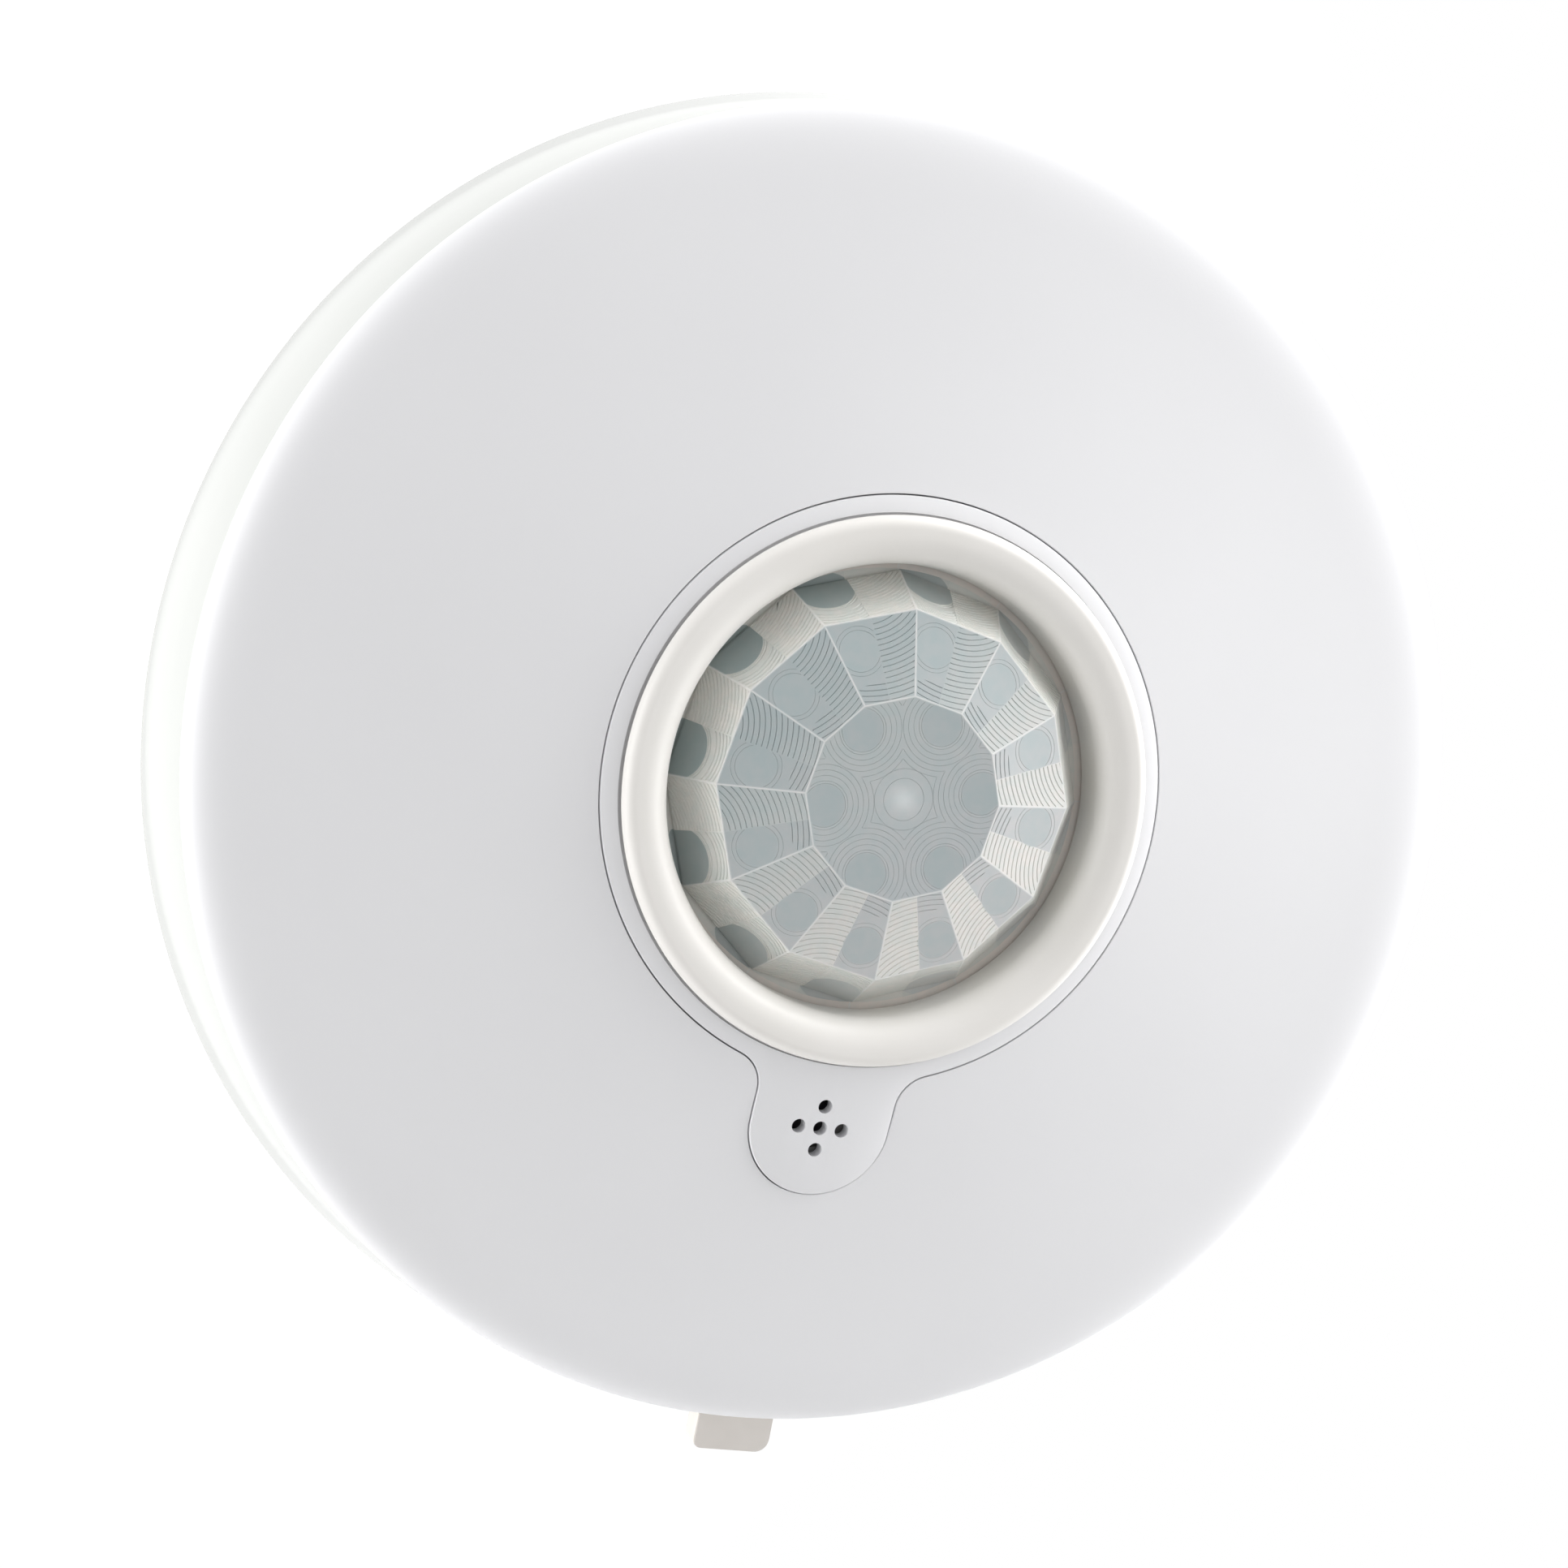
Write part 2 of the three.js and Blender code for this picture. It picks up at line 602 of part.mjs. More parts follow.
function trimmerRotor() {
  const [x, y] = trimmerSpot;
  const knob = disc(2.2, 9.9, 12.2, trimmerSpot, 24);
  return knob.subtract(block([x - 1.7, x + 1.7], [y - 0.35, y + 0.35], [11.4, 13]));
}

place('range_trimmer', rangeTrimmer(), 'bluePlastic');
place('trimmer_rotor', trimmerRotor(), 'innerWhite');

// ---------------------------------------------------------------- tamper switch

const tamperBoreBottom = 8.6;

function tamperBody() {
  const [x, y] = tamperSpot;
  const top = 14;
  const body = block([x - 3.4, x + 3.4], [y - 3.4, y + 3.4], [partSeat, top]);
  const bore = disc(2.4, tamperBoreBottom, top - 0.8, tamperSpot, 20);
  return body.subtract(bore).subtract(disc(1.4, top - 1, top + 1, tamperSpot, 20));
}

// The plunger's collar rides on the spring and stops it from leaving the bore.
function tamperPlunger() {
  const stem = disc(1.1, tamperBoreBottom + gap, 15, tamperSpot, 20);
  const collar = disc(2.1, 10.4, 11, tamperSpot, 20);
  return joined(stem, collar);
}

function tamperSpring() {
  const [x, y] = tamperSpot;
  const wire = 0.3;
  const spring = coilSpring(1.65, 0.9, 3, wire);
  spring.translate(x, y, tamperBoreBottom + gap + wire / 2);
  return toSolid(spring);
}

place('tamper_body', tamperBody(), 'blackPlastic');
place('tamper_plunger', tamperPlunger(), 'innerWhite');
place('tamper_spring', tamperSpring(), 'steel');

// ---------------------------------------------------------------- cable inlet

function cableGrommet() {
  const [x, y] = cableSpot;
  const outline = [[3.2, 0.4], [5.7, 0.4], [5.7, 2.5], [8.2, 2.5], [8.2, 3.9], [3.2, 3.9]];
  return turned(outline, 24).translate([x, y, 0]);
}

place('cable_grommet', cableGrommet(), 'blackPlastic');

// ---------------------------------------------------------------- the part

const motionSensor = new THREE.Group();
motionSensor.add(assembly);

export default motionSensor;
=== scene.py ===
import math

import bmesh
import bpy
from mathutils import Matrix, Vector


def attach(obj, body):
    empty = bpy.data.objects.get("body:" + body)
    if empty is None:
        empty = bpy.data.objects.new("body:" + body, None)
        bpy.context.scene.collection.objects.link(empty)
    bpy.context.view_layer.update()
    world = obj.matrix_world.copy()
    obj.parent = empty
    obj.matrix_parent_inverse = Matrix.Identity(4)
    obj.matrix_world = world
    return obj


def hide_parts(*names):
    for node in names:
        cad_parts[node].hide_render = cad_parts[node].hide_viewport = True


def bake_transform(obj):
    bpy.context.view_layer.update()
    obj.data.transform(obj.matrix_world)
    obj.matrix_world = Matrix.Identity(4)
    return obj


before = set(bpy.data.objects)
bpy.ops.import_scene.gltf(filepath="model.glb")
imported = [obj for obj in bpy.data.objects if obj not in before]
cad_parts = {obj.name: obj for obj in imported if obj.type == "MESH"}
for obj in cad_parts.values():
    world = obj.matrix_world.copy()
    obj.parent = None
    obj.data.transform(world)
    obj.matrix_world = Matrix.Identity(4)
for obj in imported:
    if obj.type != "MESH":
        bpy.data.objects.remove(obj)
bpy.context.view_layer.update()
mm = 0.001
scene = bpy.context.scene

# ---------------------------------------------------------------- camera
# A normal lens, held about 22 cm from the detector, to its left and a little above it. The camera is level
# with nothing on the detector, so its right, up and backward directions are given as they are.

camera_data = bpy.data.cameras.new("camera")
camera_data.sensor_width = 36
camera_data.lens = 36 * 3000 / 1932
camera_data.clip_start = 0.01
camera = bpy.data.objects.new("camera", camera_data)
camera.matrix_world = Matrix((
    (0.93180, -0.15675, -0.32737, -78.79 * mm),
    (-0.30757, 0.13787, -0.94148, -221.06 * mm),
    (0.19271, 0.97797, 0.08025, 16.22 * mm),
    (0, 0, 0, 1),
))
scene.collection.objects.link(camera)
scene.camera = camera

# ---------------------------------------------------------------- stage and light
# A white studio: broad soft lights beside the detector, the strongest high on the right, a dim front and a
# pale surround behind. A small lamp mirrors in the lens, and a pale floor lies far below.

def look(name):
    """A new material with its nodes, its shader and a short way to add and join nodes."""
    material = bpy.data.materials.new(name)
    material.use_nodes = True
    nodes = material.node_tree.nodes
    shader = nodes["Principled BSDF"]

    def add(kind, **settings):
        node = nodes.new(kind)
        for key, value in settings.items():
            if key in node.bl_rna.properties:
                setattr(node, key, value)
            else:
                node.inputs[key].default_value = value
        return node

    def join(source, target):
        material.node_tree.links.new(source, target)

    return material, shader, add, join


def ramp(add, stops):
    """A colour ramp node through (position, colour) stops."""
    node = add("ShaderNodeValToRGB")
    elements = node.color_ramp.elements
    while len(elements) < len(stops):
        elements.new(0.5)
    for element, (position, colour) in zip(elements, stops):
        element.position = position
        element.color = (*colour, 1)
    return node


world = bpy.data.worlds.new("white studio")
world.use_nodes = True
scene.world = world
scene.view_settings.view_transform = "Standard"

sky = world.node_tree.nodes
sky_links = world.node_tree.links


def sky_math(operation, first, second):
    """A maths node in the world, over two sources, each a socket or a number."""
    node = sky.new("ShaderNodeMath")
    node.operation = operation
    for socket, source in zip(node.inputs, (first, second)):
        if isinstance(source, (int, float)):
            socket.default_value = source
        else:
            sky_links.new(source, socket)
    return node.outputs["Value"]


def sky_towards(direction):
    """How far each part of the surround lies towards a direction, from -1 to 1."""
    node = sky.new("ShaderNodeVectorMath")
    node.operation = "DOT_PRODUCT"
    node.inputs[1].default_value = Vector(direction).normalized()
    sky_links.new(sky_place.outputs["Generated"], node.inputs[0])
    return node.outputs["Value"]


soft_lights = (
    # towards, narrowness, strength
    ((0.7, 0.0, 0.7), 10.0, 9.1),
    ((1.0, 0.0, 0.0), 10.0, 6.2),
    ((-0.7, 0.0, -0.7), 10.0, 2.3),
    ((-1.0, 0.0, 0.0), 10.0, 4.7),
    ((-0.25, 0.0, 1.0), 10.0, 1.1),
    ((0.0, -1.0, 0.0), 2.0, 0.70),
    ((0.0, 1.0, 0.0), 1.0, 1.1),
)
sky_place = sky.new("ShaderNodeTexCoord")
glow = 0.05
for towards, narrowness, strength in soft_lights:
    lobe = sky_math("POWER", sky_math("MAXIMUM", sky_towards(towards), 0.0), narrowness)
    glow = sky_math("ADD", glow, sky_math("MULTIPLY", lobe, strength))
seen = sky.new("ShaderNodeLightPath").outputs["Is Camera Ray"]
sky_links.new(sky_math("MAXIMUM", glow, seen), sky["Background"].inputs["Strength"])
sky["Background"].inputs["Color"].default_value = (1, 1, 1, 1)

glint_data = bpy.data.lights.new("glint", "AREA")
glint_data.shape = "DISK"
glint_data.size = 0.010
glint_data.energy = 0.02
glint = bpy.data.objects.new("glint", glint_data)
lens_tip = Vector((0, -26.2 * mm, 0))
to_camera = camera.matrix_world.translation - lens_tip
mirrored = Vector((-to_camera.x, to_camera.y, -to_camera.z)).normalized()
glint.location = lens_tip + mirrored * 1.5
glint.rotation_euler = mirrored.to_track_quat("Z", "Y").to_euler()
scene.collection.objects.link(glint)

floor_mesh = bpy.data.meshes.new("floor")
floor_half = 0.6
floor_corners = [(x * floor_half, y * floor_half, -1.5) for x, y in ((-1, -1), (1, -1), (1, 1), (-1, 1))]
floor_mesh.from_pydata(floor_corners, [], [(0, 1, 2, 3)])
floor = bpy.data.objects.new("floor", floor_mesh)
floor_look, shader, add, join = look("pale floor")
floor_noise = add("ShaderNodeTexNoise", Scale=6.0)
floor_ramp = ramp(add, [(0.3, (0.90, 0.90, 0.90)), (0.7, (0.93, 0.93, 0.93))])
join(floor_noise.outputs["Fac"], floor_ramp.inputs["Fac"])
join(floor_ramp.outputs["Color"], shader.inputs["Base Color"])
shader.inputs["Roughness"].default_value = 0.9
floor_mesh.materials.append(floor_look)
scene.collection.objects.link(floor)

# ---------------------------------------------------------------- base housing
# The tray that is screwed to the wall, moulded in gloss white ABS. Its side flares towards the wall, its rim
# centres the cover, and its floor has keyholes for wall screws, a cable hole and bosses for the board.

gap = 0.3
seam_radius = 60
back_radius = 62.5
seam_height = 12.8
floor_thickness = 2.2
lip_inner = 55.9
lip_outer = 57.4
lip_top = 14.8
lip_chamfer = 0.3


def wall_point(x, up, out):
    """A point from millimetres to the right, up the wall and out of the wall."""
    return Vector((x * mm, -out * mm, up * mm))


def arc(centre_radius, centre_out, radius, start, end, steps):
    """Points [radius, out] of an arc in a turned piece's outline, in degrees."""
    angles = [math.radians(start + (end - start) * step / steps) for step in range(steps + 1)]
    return [[centre_radius + radius * math.cos(a), centre_out + radius * math.sin(a)] for a in angles]


def ring_surface(rings):
    """A closed body over rings of points: each ring is joined to the next, and the last to the first,
    except that a ring of one point closes an end."""
    body = bmesh.new()
    rows = [[body.verts.new(point) for point in ring] for ring in rings]
    pairs = list(zip(rows, rows[1:]))
    if len(rows[0]) > 1:
        pairs.append((rows[-1], rows[0]))
    for low, high in pairs:
        for step in range(max(len(low), len(high))):
            corners = [low[step % len(low)], low[(step + 1) % len(low)]]
            corners += [high[(step + 1) % len(high)], high[step % len(high)]]
            body.faces.new(list(dict.fromkeys(corners)))
    bmesh.ops.recalc_face_normals(body, faces=body.faces)
    return body


def turned(outline, sides=240, centre=(0, 0)):
    """A turned body about an axis out of the wall, from an outline of [radius, out]."""
    turns = [2 * math.pi * step / sides for step in range(sides)]
    return ring_surface([
        [wall_point(centre[0] + r * math.cos(a), centre[1] + r * math.sin(a), out) for a in turns]
        if r > 0 else [wall_point(centre[0], centre[1], out)]
        for r, out in outline
    ])


def block(x, up, out):
    """A box between pairs of limits, as a bmesh."""
    body = bmesh.new()
    bmesh.ops.create_cube(body, size=1)
    for vertex in body.verts:
        corner = [limits[0] if side < 0 else limits[1] for side, limits in zip(
            (vertex.co.x, vertex.co.y, vertex.co.z), (x, up, out))]
        vertex.co = wall_point(*corner)
    bmesh.ops.recalc_face_normals(body, faces=body.faces)
    return body


def piece(name, body, material, crease=30):
    """Puts a finished body in the scene as one piece, smooth except at its creases."""
    mesh = bpy.data.meshes.new(name)
    body.to_mesh(mesh)
    body.free()
    mesh.materials.append(material)
    mesh.shade_smooth()
    mesh.set_sharp_from_angle(angle=math.radians(crease))
    thing = bpy.data.objects.new(name, mesh)
    scene.collection.objects.link(thing)
    return thing


def carve(thing, *cutters, operation="DIFFERENCE", crease=30):
    """Cuts bodies out of a piece, or adds them to it, and leaves a plain mesh."""
    for number, cutter in enumerate(cutters):
        tool = piece(f"{thing.name}.tool.{number}", cutter, thing.data.materials[0])
        modifier = thing.modifiers.new("cut", "BOOLEAN")
        modifier.operation = operation
        modifier.solver = "MANIFOLD"
        modifier.object = tool
    evaluated = thing.evaluated_get(bpy.context.evaluated_depsgraph_get())
    mesh = bpy.data.meshes.new_from_object(evaluated)
    tools = [modifier.object for modifier in thing.modifiers]
    thing.modifiers.clear()
    thing.data = mesh
    for tool in tools:
        bpy.data.objects.remove(tool)
    mesh.shade_smooth()
    mesh.set_sharp_from_angle(angle=math.radians(crease))


gloss_white, shader, add, join = look("gloss white moulding")
shader.inputs["Roughness"].default_value = 0.18
shader.inputs["Coat Weight"].default_value = 0.3
shader.inputs["Coat Roughness"].default_value = 0.08
wave = add("ShaderNodeTexNoise", Scale=60.0, Detail=2.0)
place = add("ShaderNodeTexCoord")
bump = add("ShaderNodeBump", Strength=0.02, Distance=0.0005)
join(place.outputs["Object"], wave.inputs["Vector"])
join(wave.outputs["Fac"], bump.inputs["Height"])
join(bump.outputs["Normal"], shader.inputs["Normal"])
tone = ramp(add, [(0.3, (0.655, 0.67, 0.645)), (0.7, (0.675, 0.69, 0.665))])
join(wave.outputs["Fac"], tone.inputs["Fac"])
join(tone.outputs["Color"], shader.inputs["Base Color"])

base_top = seam_height - gap / 2
back_edge = arc(back_radius - 1.2, 1.2, 1.2, -90, 0, 8)
rim_edge = arc(seam_radius - 0.25, base_top - 0.25, 0.25, 10, 90, 4)
lip = [[lip_outer, base_top], [lip_outer, lip_top - lip_chamfer], [lip_outer - lip_chamfer, lip_top],
       [lip_inner + lip_chamfer, lip_top], [lip_inner, lip_top - lip_chamfer]]
wall_inside = [[lip_inner, 11.5], [57.8, 10.5], [59.4, 3.0], [58.9, floor_thickness]]
base = piece("base", turned(
    [[0, 0], *back_edge, *rim_edge, *lip, *wall_inside, [0, floor_thickness]]), gloss_white)
root = floor_thickness - 1
below_wall = -1
above_floor = 3.2
tab_x = 1.9
cradle_half = 7.4
cradle_inside = 6.05
cradle_x = (tab_x - cradle_half, tab_x + cradle_half)
cradle_top_up = -43.9
cable_hole_radius = 6
cable_hole_up = 47
head_hole_radius = 3.8
neck_hole_radius = 1.9
neck_offset = 5
pocket_turns = (10.2, 19.2)
board_screw_spots = ((-46.5, 0), (46.5, 0), (-17, -34))
mounting_spots = ((24, 44), (-24, 44), (-24, -45), (24, -45))


def disc(radius, low, high, spot, sides=64):
    """A round bar out of the wall between two heights."""
    return turned([[0, low], [radius, low], [radius, high], [0, high]], sides, spot)


def sector(inner, outer, low, high, first, last, steps=8):
    """Part of a ring between two radii and two heights, from one direction to another in degrees."""
    body = bmesh.new()
    rows = []
    for step in range(steps + 1):
        turn = math.radians(first + (last - first) * step / steps)
        rows.append([body.verts.new(wall_point(r * math.sin(turn), r * math.cos(turn), out))
                     for r, out in ((inner, low), (outer, low), (outer, high), (inner, high))])
    for near, far in zip(rows, rows[1:]):
        for side in range(4):
            ahead = (side + 1) % 4
            body.faces.new((near[side], near[ahead], far[ahead], far[side]))
    body.faces.new(rows[0])
    body.faces.new(rows[-1])
    bmesh.ops.recalc_face_normals(body, faces=body.faces)
    return body


bosses = [disc(3, root, 5.7, spot) for spot in board_screw_spots]
cradle = [block(cradle_x, (-57, cradle_top_up), (root, 7.6)),
          block(cradle_x, (-45.5, cradle_top_up), (5, 11.4))]
cradle += [block(sides, (-56, cradle_top_up), (5, 10.4))
           for sides in ((cradle_x[0], tab_x - cradle_inside), (tab_x + cradle_inside, cradle_x[1]))]
carve(base, *bosses, *cradle, operation="UNION")
pilots = [disc(1.5, above_floor, 7, spot, 32) for spot in board_screw_spots]
keyholes = []
for x, up in mounting_spots:
    slot_x = x - math.copysign(neck_offset, x)
    keyholes.append(disc(head_hole_radius, below_wall, above_floor, (x, up)))
    keyholes.append(disc(neck_hole_radius, below_wall, above_floor, (slot_x, up), 48))
    neck = (up - neck_hole_radius + 0.01, up + neck_hole_radius - 0.01)
    keyholes.append(block((min(x, slot_x), max(x, slot_x)), neck, (below_wall, above_floor)))
pockets = []
for side in (-1, 1):
    reach_of_pocket = [side * turn for turn in pocket_turns]
    pockets.append(sector(50, lip_outer, 11.0, 15.8, *reach_of_pocket))
    pockets.append(sector(50, 58.9, 8.0, 11.3, *reach_of_pocket))
window = block((tab_x - 4.05, tab_x + 4.05), (-67, -55), (7.6, 11.1))
cable_hole = disc(cable_hole_radius, below_wall, above_floor, (0, cable_hole_up))
carve(base, window, cable_hole, *pilots, *keyholes, *pockets)
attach(base, "base")
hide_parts("base_housing")

# ---------------------------------------------------------------- front cover
# The domed cover, moulded in finely textured matte white. A keyhole-shaped step in its face takes the trim
# plate. Inside are two hooks and a catch that hold it to the base, and bosses for the lens retainer.

matte_white, shader, add, join = look("textured matte white moulding")
place = add("ShaderNodeTexCoord")
grain = add("ShaderNodeTexNoise", Scale=2600.0, Detail=3.0)
cloud = add("ShaderNodeTexNoise", Scale=30.0, Detail=2.0)
bump = add("ShaderNodeBump", Strength=0.12, Distance=0.00004)
tone = ramp(add, [(0.3, (0.80, 0.80, 0.815)), (0.7, (0.82, 0.82, 0.835))])
join(place.outputs["Object"], grain.inputs["Vector"])
join(place.outputs["Object"], cloud.inputs["Vector"])
join(grain.outputs["Fac"], bump.inputs["Height"])
join(bump.outputs["Normal"], shader.inputs["Normal"])
join(cloud.outputs["Fac"], tone.inputs["Fac"])
join(tone.outputs["Color"], shader.inputs["Base Color"])
shader.inputs["Roughness"].default_value = 0.55

face_top = 22.85
lens_opening = 21.9
retainer_shelf = 19.4
cone_start = 24.6
cone_end = 50
cover_wall_top = 15.2
trim_radius = 26.1
trim_thickness = 1.2
tab_centre = -30.3
tab_radius = 6.55
tab_fillet = 3.4
sound_up = -30.55


def keyhole(margin):
    """The trim plate's outline, grown by a margin, as (x, up) points round its centre."""
    big = trim_radius + margin
    small = tab_radius + margin
    fillet = tab_fillet - margin
    fillet_x = small + fillet
    fillet_up = -math.sqrt((big + fillet) ** 2 - fillet_x ** 2)
    touch = math.atan2(fillet_up, fillet_x)
    half = []
    for step in range(14):
        turn = math.pi * 1.5 + (math.pi / 2) * step / 14
        half.append((small * math.cos(turn), tab_centre + small * math.sin(turn)))
    half.append((small, (tab_centre + fillet_up) / 2))
    for step in range(8):
        turn = math.pi + touch * step / 8
        half.append((fillet_x + fillet * math.cos(turn), fillet_up + fillet * math.sin(turn)))
    for step in range(110):
        turn = touch + (math.pi / 2 - touch) * step / 110
        half.append((big * math.cos(turn), big * math.sin(turn)))
    return half + [(0, big)] + [(-x, up) for x, up in reversed(half[1:])]


def face_height(radius, slope=8.0):
    """Height of the face up to the end of its cone: level under the bezel, then sloping back."""
    return face_top - math.tan(math.radians(slope)) * max(radius - cone_start, 0)


def bezier(points, steps):
    """Points [radius, out] of a cubic curve, without its first point."""
    result = []
    for step in range(1, steps + 1):
        t = step / steps
        weights = ((1 - t) ** 3, 3 * t * (1 - t) ** 2, 3 * t * t * (1 - t), t ** 3)
        result.append([sum(w * point[axis] for w, point in zip(weights, points)) for axis in (0, 1)])
    return result


trim_line = 0.12


def loop(radius, out, margin=trim_line):
    """A ring with a point in each direction of the keyhole's outline, for pieces that meet that outline."""
    directions = [math.atan2(up, x) for x, up in keyhole(margin)]
    return [wall_point(radius * math.cos(a), radius * math.sin(a), out) for a in directions]


def face_loop(share):
    """A ring on the cone, between the keyhole at share 0 and the end of the cone at share 1."""
    ring = []
    for x, up in keyhole(trim_line + 0.06):
        inner = math.hypot(x, up)
        radius = inner + (cone_end - inner) * share
        ring.append(wall_point(x / inner * radius, up / inner * radius, face_height(radius)))
    return ring


def keyhole_loop(margin, depth, slope=8.0):
    """The keyhole's outline at a depth below a cone of the given slope."""
    return [wall_point(x, up, face_height(math.hypot(x, up), slope) - depth) for x, up in keyhole(margin)]


recess_depth = trim_thickness + gap
rim_bottom = seam_height + gap / 2
rim_inner = 57.7
rim_chamfer = 0.15
turn_in = cone_end + 5.2
cover_rings = [loop(rim_inner, rim_bottom), loop(seam_radius - rim_chamfer, rim_bottom)]
cover_rings += [loop(seam_radius, rim_bottom + rim_chamfer), loop(seam_radius, cover_wall_top)]
cover_rings += [loop(r, out) for r, out in bezier(
    ([seam_radius, cover_wall_top], [seam_radius, cover_wall_top + 3], [turn_in, face_height(turn_in)],
     [cone_end, face_height(cone_end)]), 18)]
cover_rings += [face_loop(1 - step / 24) for step in range(1, 25)]
cover_rings += [keyhole_loop(trim_line, 0.06), keyhole_loop(trim_line, recess_depth)]
cover_rings += [loop(cone_start, face_top - recess_depth), loop(lens_opening, face_top - recess_depth)]
cover_rings += [loop(lens_opening, retainer_shelf), loop(33, retainer_shelf)]
cover_rings += [loop(47, 18.0), loop(55.2, 16.6), loop(rim_inner, 15.2)]
cover = piece("cover", ring_surface(cover_rings), matte_white)
carve(cover, disc(5.2, 15, 23, (0, sound_up)))
tamper_spot = (26, 28)
retainer_turns = [math.radians(105 + 120 * screw) for screw in range(3)]
retainer_spots = [(27.4 * math.cos(turn), 27.4 * math.sin(turn)) for turn in retainer_turns]
hook_turns = (11.1, 17.2)
inside = [disc(2.4, 17.7, 19.9, spot) for spot in retainer_spots]
inside.append(disc(1.6, 15.3, 19.3, tamper_spot, 48))
for side in (-1, 1):
    reach_of_hook = [side * turn for turn in hook_turns]
    inside.append(sector(55.4, 56.9, 8.6, 16.4, *reach_of_hook))
    inside.append(sector(55.4, 57.9, 8.6, 9.8, *reach_of_hook))
catch_x = (tab_x - 3, tab_x + 3)
catch_leg = block(catch_x, (-54.9, -53.8), (11.4, 17.2))
catch_foot = block(catch_x, (-54.9, -52.9), (11.4, 12.3))
inside += [catch_leg, catch_foot]
carve(cover, *inside, operation="UNION")
carve(cover, *[disc(1.1, 17, 20.4, spot, 32) for spot in retainer_spots])
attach(cover, "cover")
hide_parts("front_cover")

# ---------------------------------------------------------------- trim plate
# A thin plate in the cover's own finish that closes the lens opening and, on its rounded tab, has the sound
# holes for the microphone. It is pressed into the step in the cover.

sound_pitch = 2.05
sound_hole_radius = 0.65
plate_slope = 6.6
plate_back = face_top - trim_thickness
moat_floor = face_top - 0.4

plate_rings = [loop(lens_opening, plate_back, 0), loop(cone_start, plate_back, 0)]
plate_rings += [keyhole_loop(0, trim_thickness), keyhole_loop(0, 0.15, plate_slope)]
plate_rings += [keyhole_loop(-0.05, 0.04, plate_slope), keyhole_loop(-0.15, 0, plate_slope)]
plate_rings += [loop(cone_start, face_top, 0), loop(cone_start - 0.05, moat_floor, 0)]
plate_rings += [loop(lens_opening, moat_floor, 0)]
plate = piece("trim_plate_fine", ring_surface(plate_rings), matte_white)
holes = [disc(sound_hole_radius, 20, 24, (x * sound_pitch, sound_up + up * sound_pitch), 40)
         for x, up in ((0, 0), (1, 0), (-1, 0), (0, 1), (0, -1))]
carve(plate, *holes)
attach(plate, "cover")
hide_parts("trim_plate")

# ---------------------------------------------------------------- bezel ring
# A ring round the lens with a rounded crest, moulded in satin ivory plastic. Its sleeve goes through the
# cover and is bonded there.

def moulded(name, darker, lighter, roughness, cloud_scale=90.0, grain=0.03):
    """A moulded plastic or rubber: a slightly clouded colour and a fine grain."""
    material, shader, add, join = look(name)
    place = add("ShaderNodeTexCoord")
    cloud = add("ShaderNodeTexNoise", Scale=cloud_scale, Detail=3.0)
    fine = add("ShaderNodeTexNoise", Scale=2200.0, Detail=2.0)
    tone = ramp(add, [(0.3, darker), (0.7, lighter)])
    bump = add("ShaderNodeBump", Strength=grain, Distance=0.00005)
    join(place.outputs["Object"], cloud.inputs["Vector"])
    join(place.outputs["Object"], fine.inputs["Vector"])
    join(cloud.outputs["Fac"], tone.inputs["Fac"])
    join(tone.outputs["Color"], shader.inputs["Base Color"])
    join(fine.outputs["Fac"], bump.inputs["Height"])
    join(bump.outputs["Normal"], shader.inputs["Normal"])
    shader.inputs["Roughness"].default_value = roughness
    return material


satin_ivory = moulded("satin ivory moulding", (0.82, 0.80, 0.765), (0.85, 0.83, 0.80), 0.38)

bezel_inner = 20.15
bezel_outer = 24.4
bezel_crest = 24.4
sleeve_outer = 21.6
sleeve_end = 19.0
foot_height = 23.15
outer_round = 1.15
inner_round = 2.6
bezel = piece("bezel", turned(
    [[bezel_inner, sleeve_end], [sleeve_outer, sleeve_end], [sleeve_outer, foot_height],
     [bezel_outer - 0.15, foot_height], [bezel_outer, foot_height + 0.1],
     *arc(bezel_outer - outer_round, bezel_crest - outer_round, outer_round, 0, 90, 10),
     *arc(bezel_inner + inner_round, bezel_crest - inner_round, inner_round, 90, 180, 16)]), satin_ivory)
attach(bezel, "cover")
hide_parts("bezel_ring")

# ---------------------------------------------------------------- release tab and its spring
# The ivory finger below the cover's edge, with rounded corners. It slides in the base's cradle, against a
# coil spring of steel wire. The real one frees the cover's catch when it is pressed up.

tab_ivory = moulded("matte ivory moulding", (0.72, 0.68, 0.64), (0.76, 0.72, 0.68), 0.5, cloud_scale=250.0)
tab_half = 3.75
tab_end = -65.1
tab_back = 7.9
tab_front = 10.8


def bar(outline, low, high, soften):
    """An extruded outline of (x, up) points with softened edges, as a bmesh."""
    body = bmesh.new()
    floor_face = body.faces.new([body.verts.new(wall_point(x, up, low)) for x, up in outline])
    raised = bmesh.ops.extrude_face_region(body, geom=[floor_face])["geom"]
    lift = wall_point(0, 0, high - low)
    for vertex in (element for element in raised if isinstance(element, bmesh.types.BMVert)):
        vertex.co += lift
    bmesh.ops.recalc_face_normals(body, faces=body.faces)
    bmesh.ops.bevel(body, geom=body.edges[:], offset=soften * mm, segments=3, affect="EDGES",
                    clamp_overlap=True)
    return body


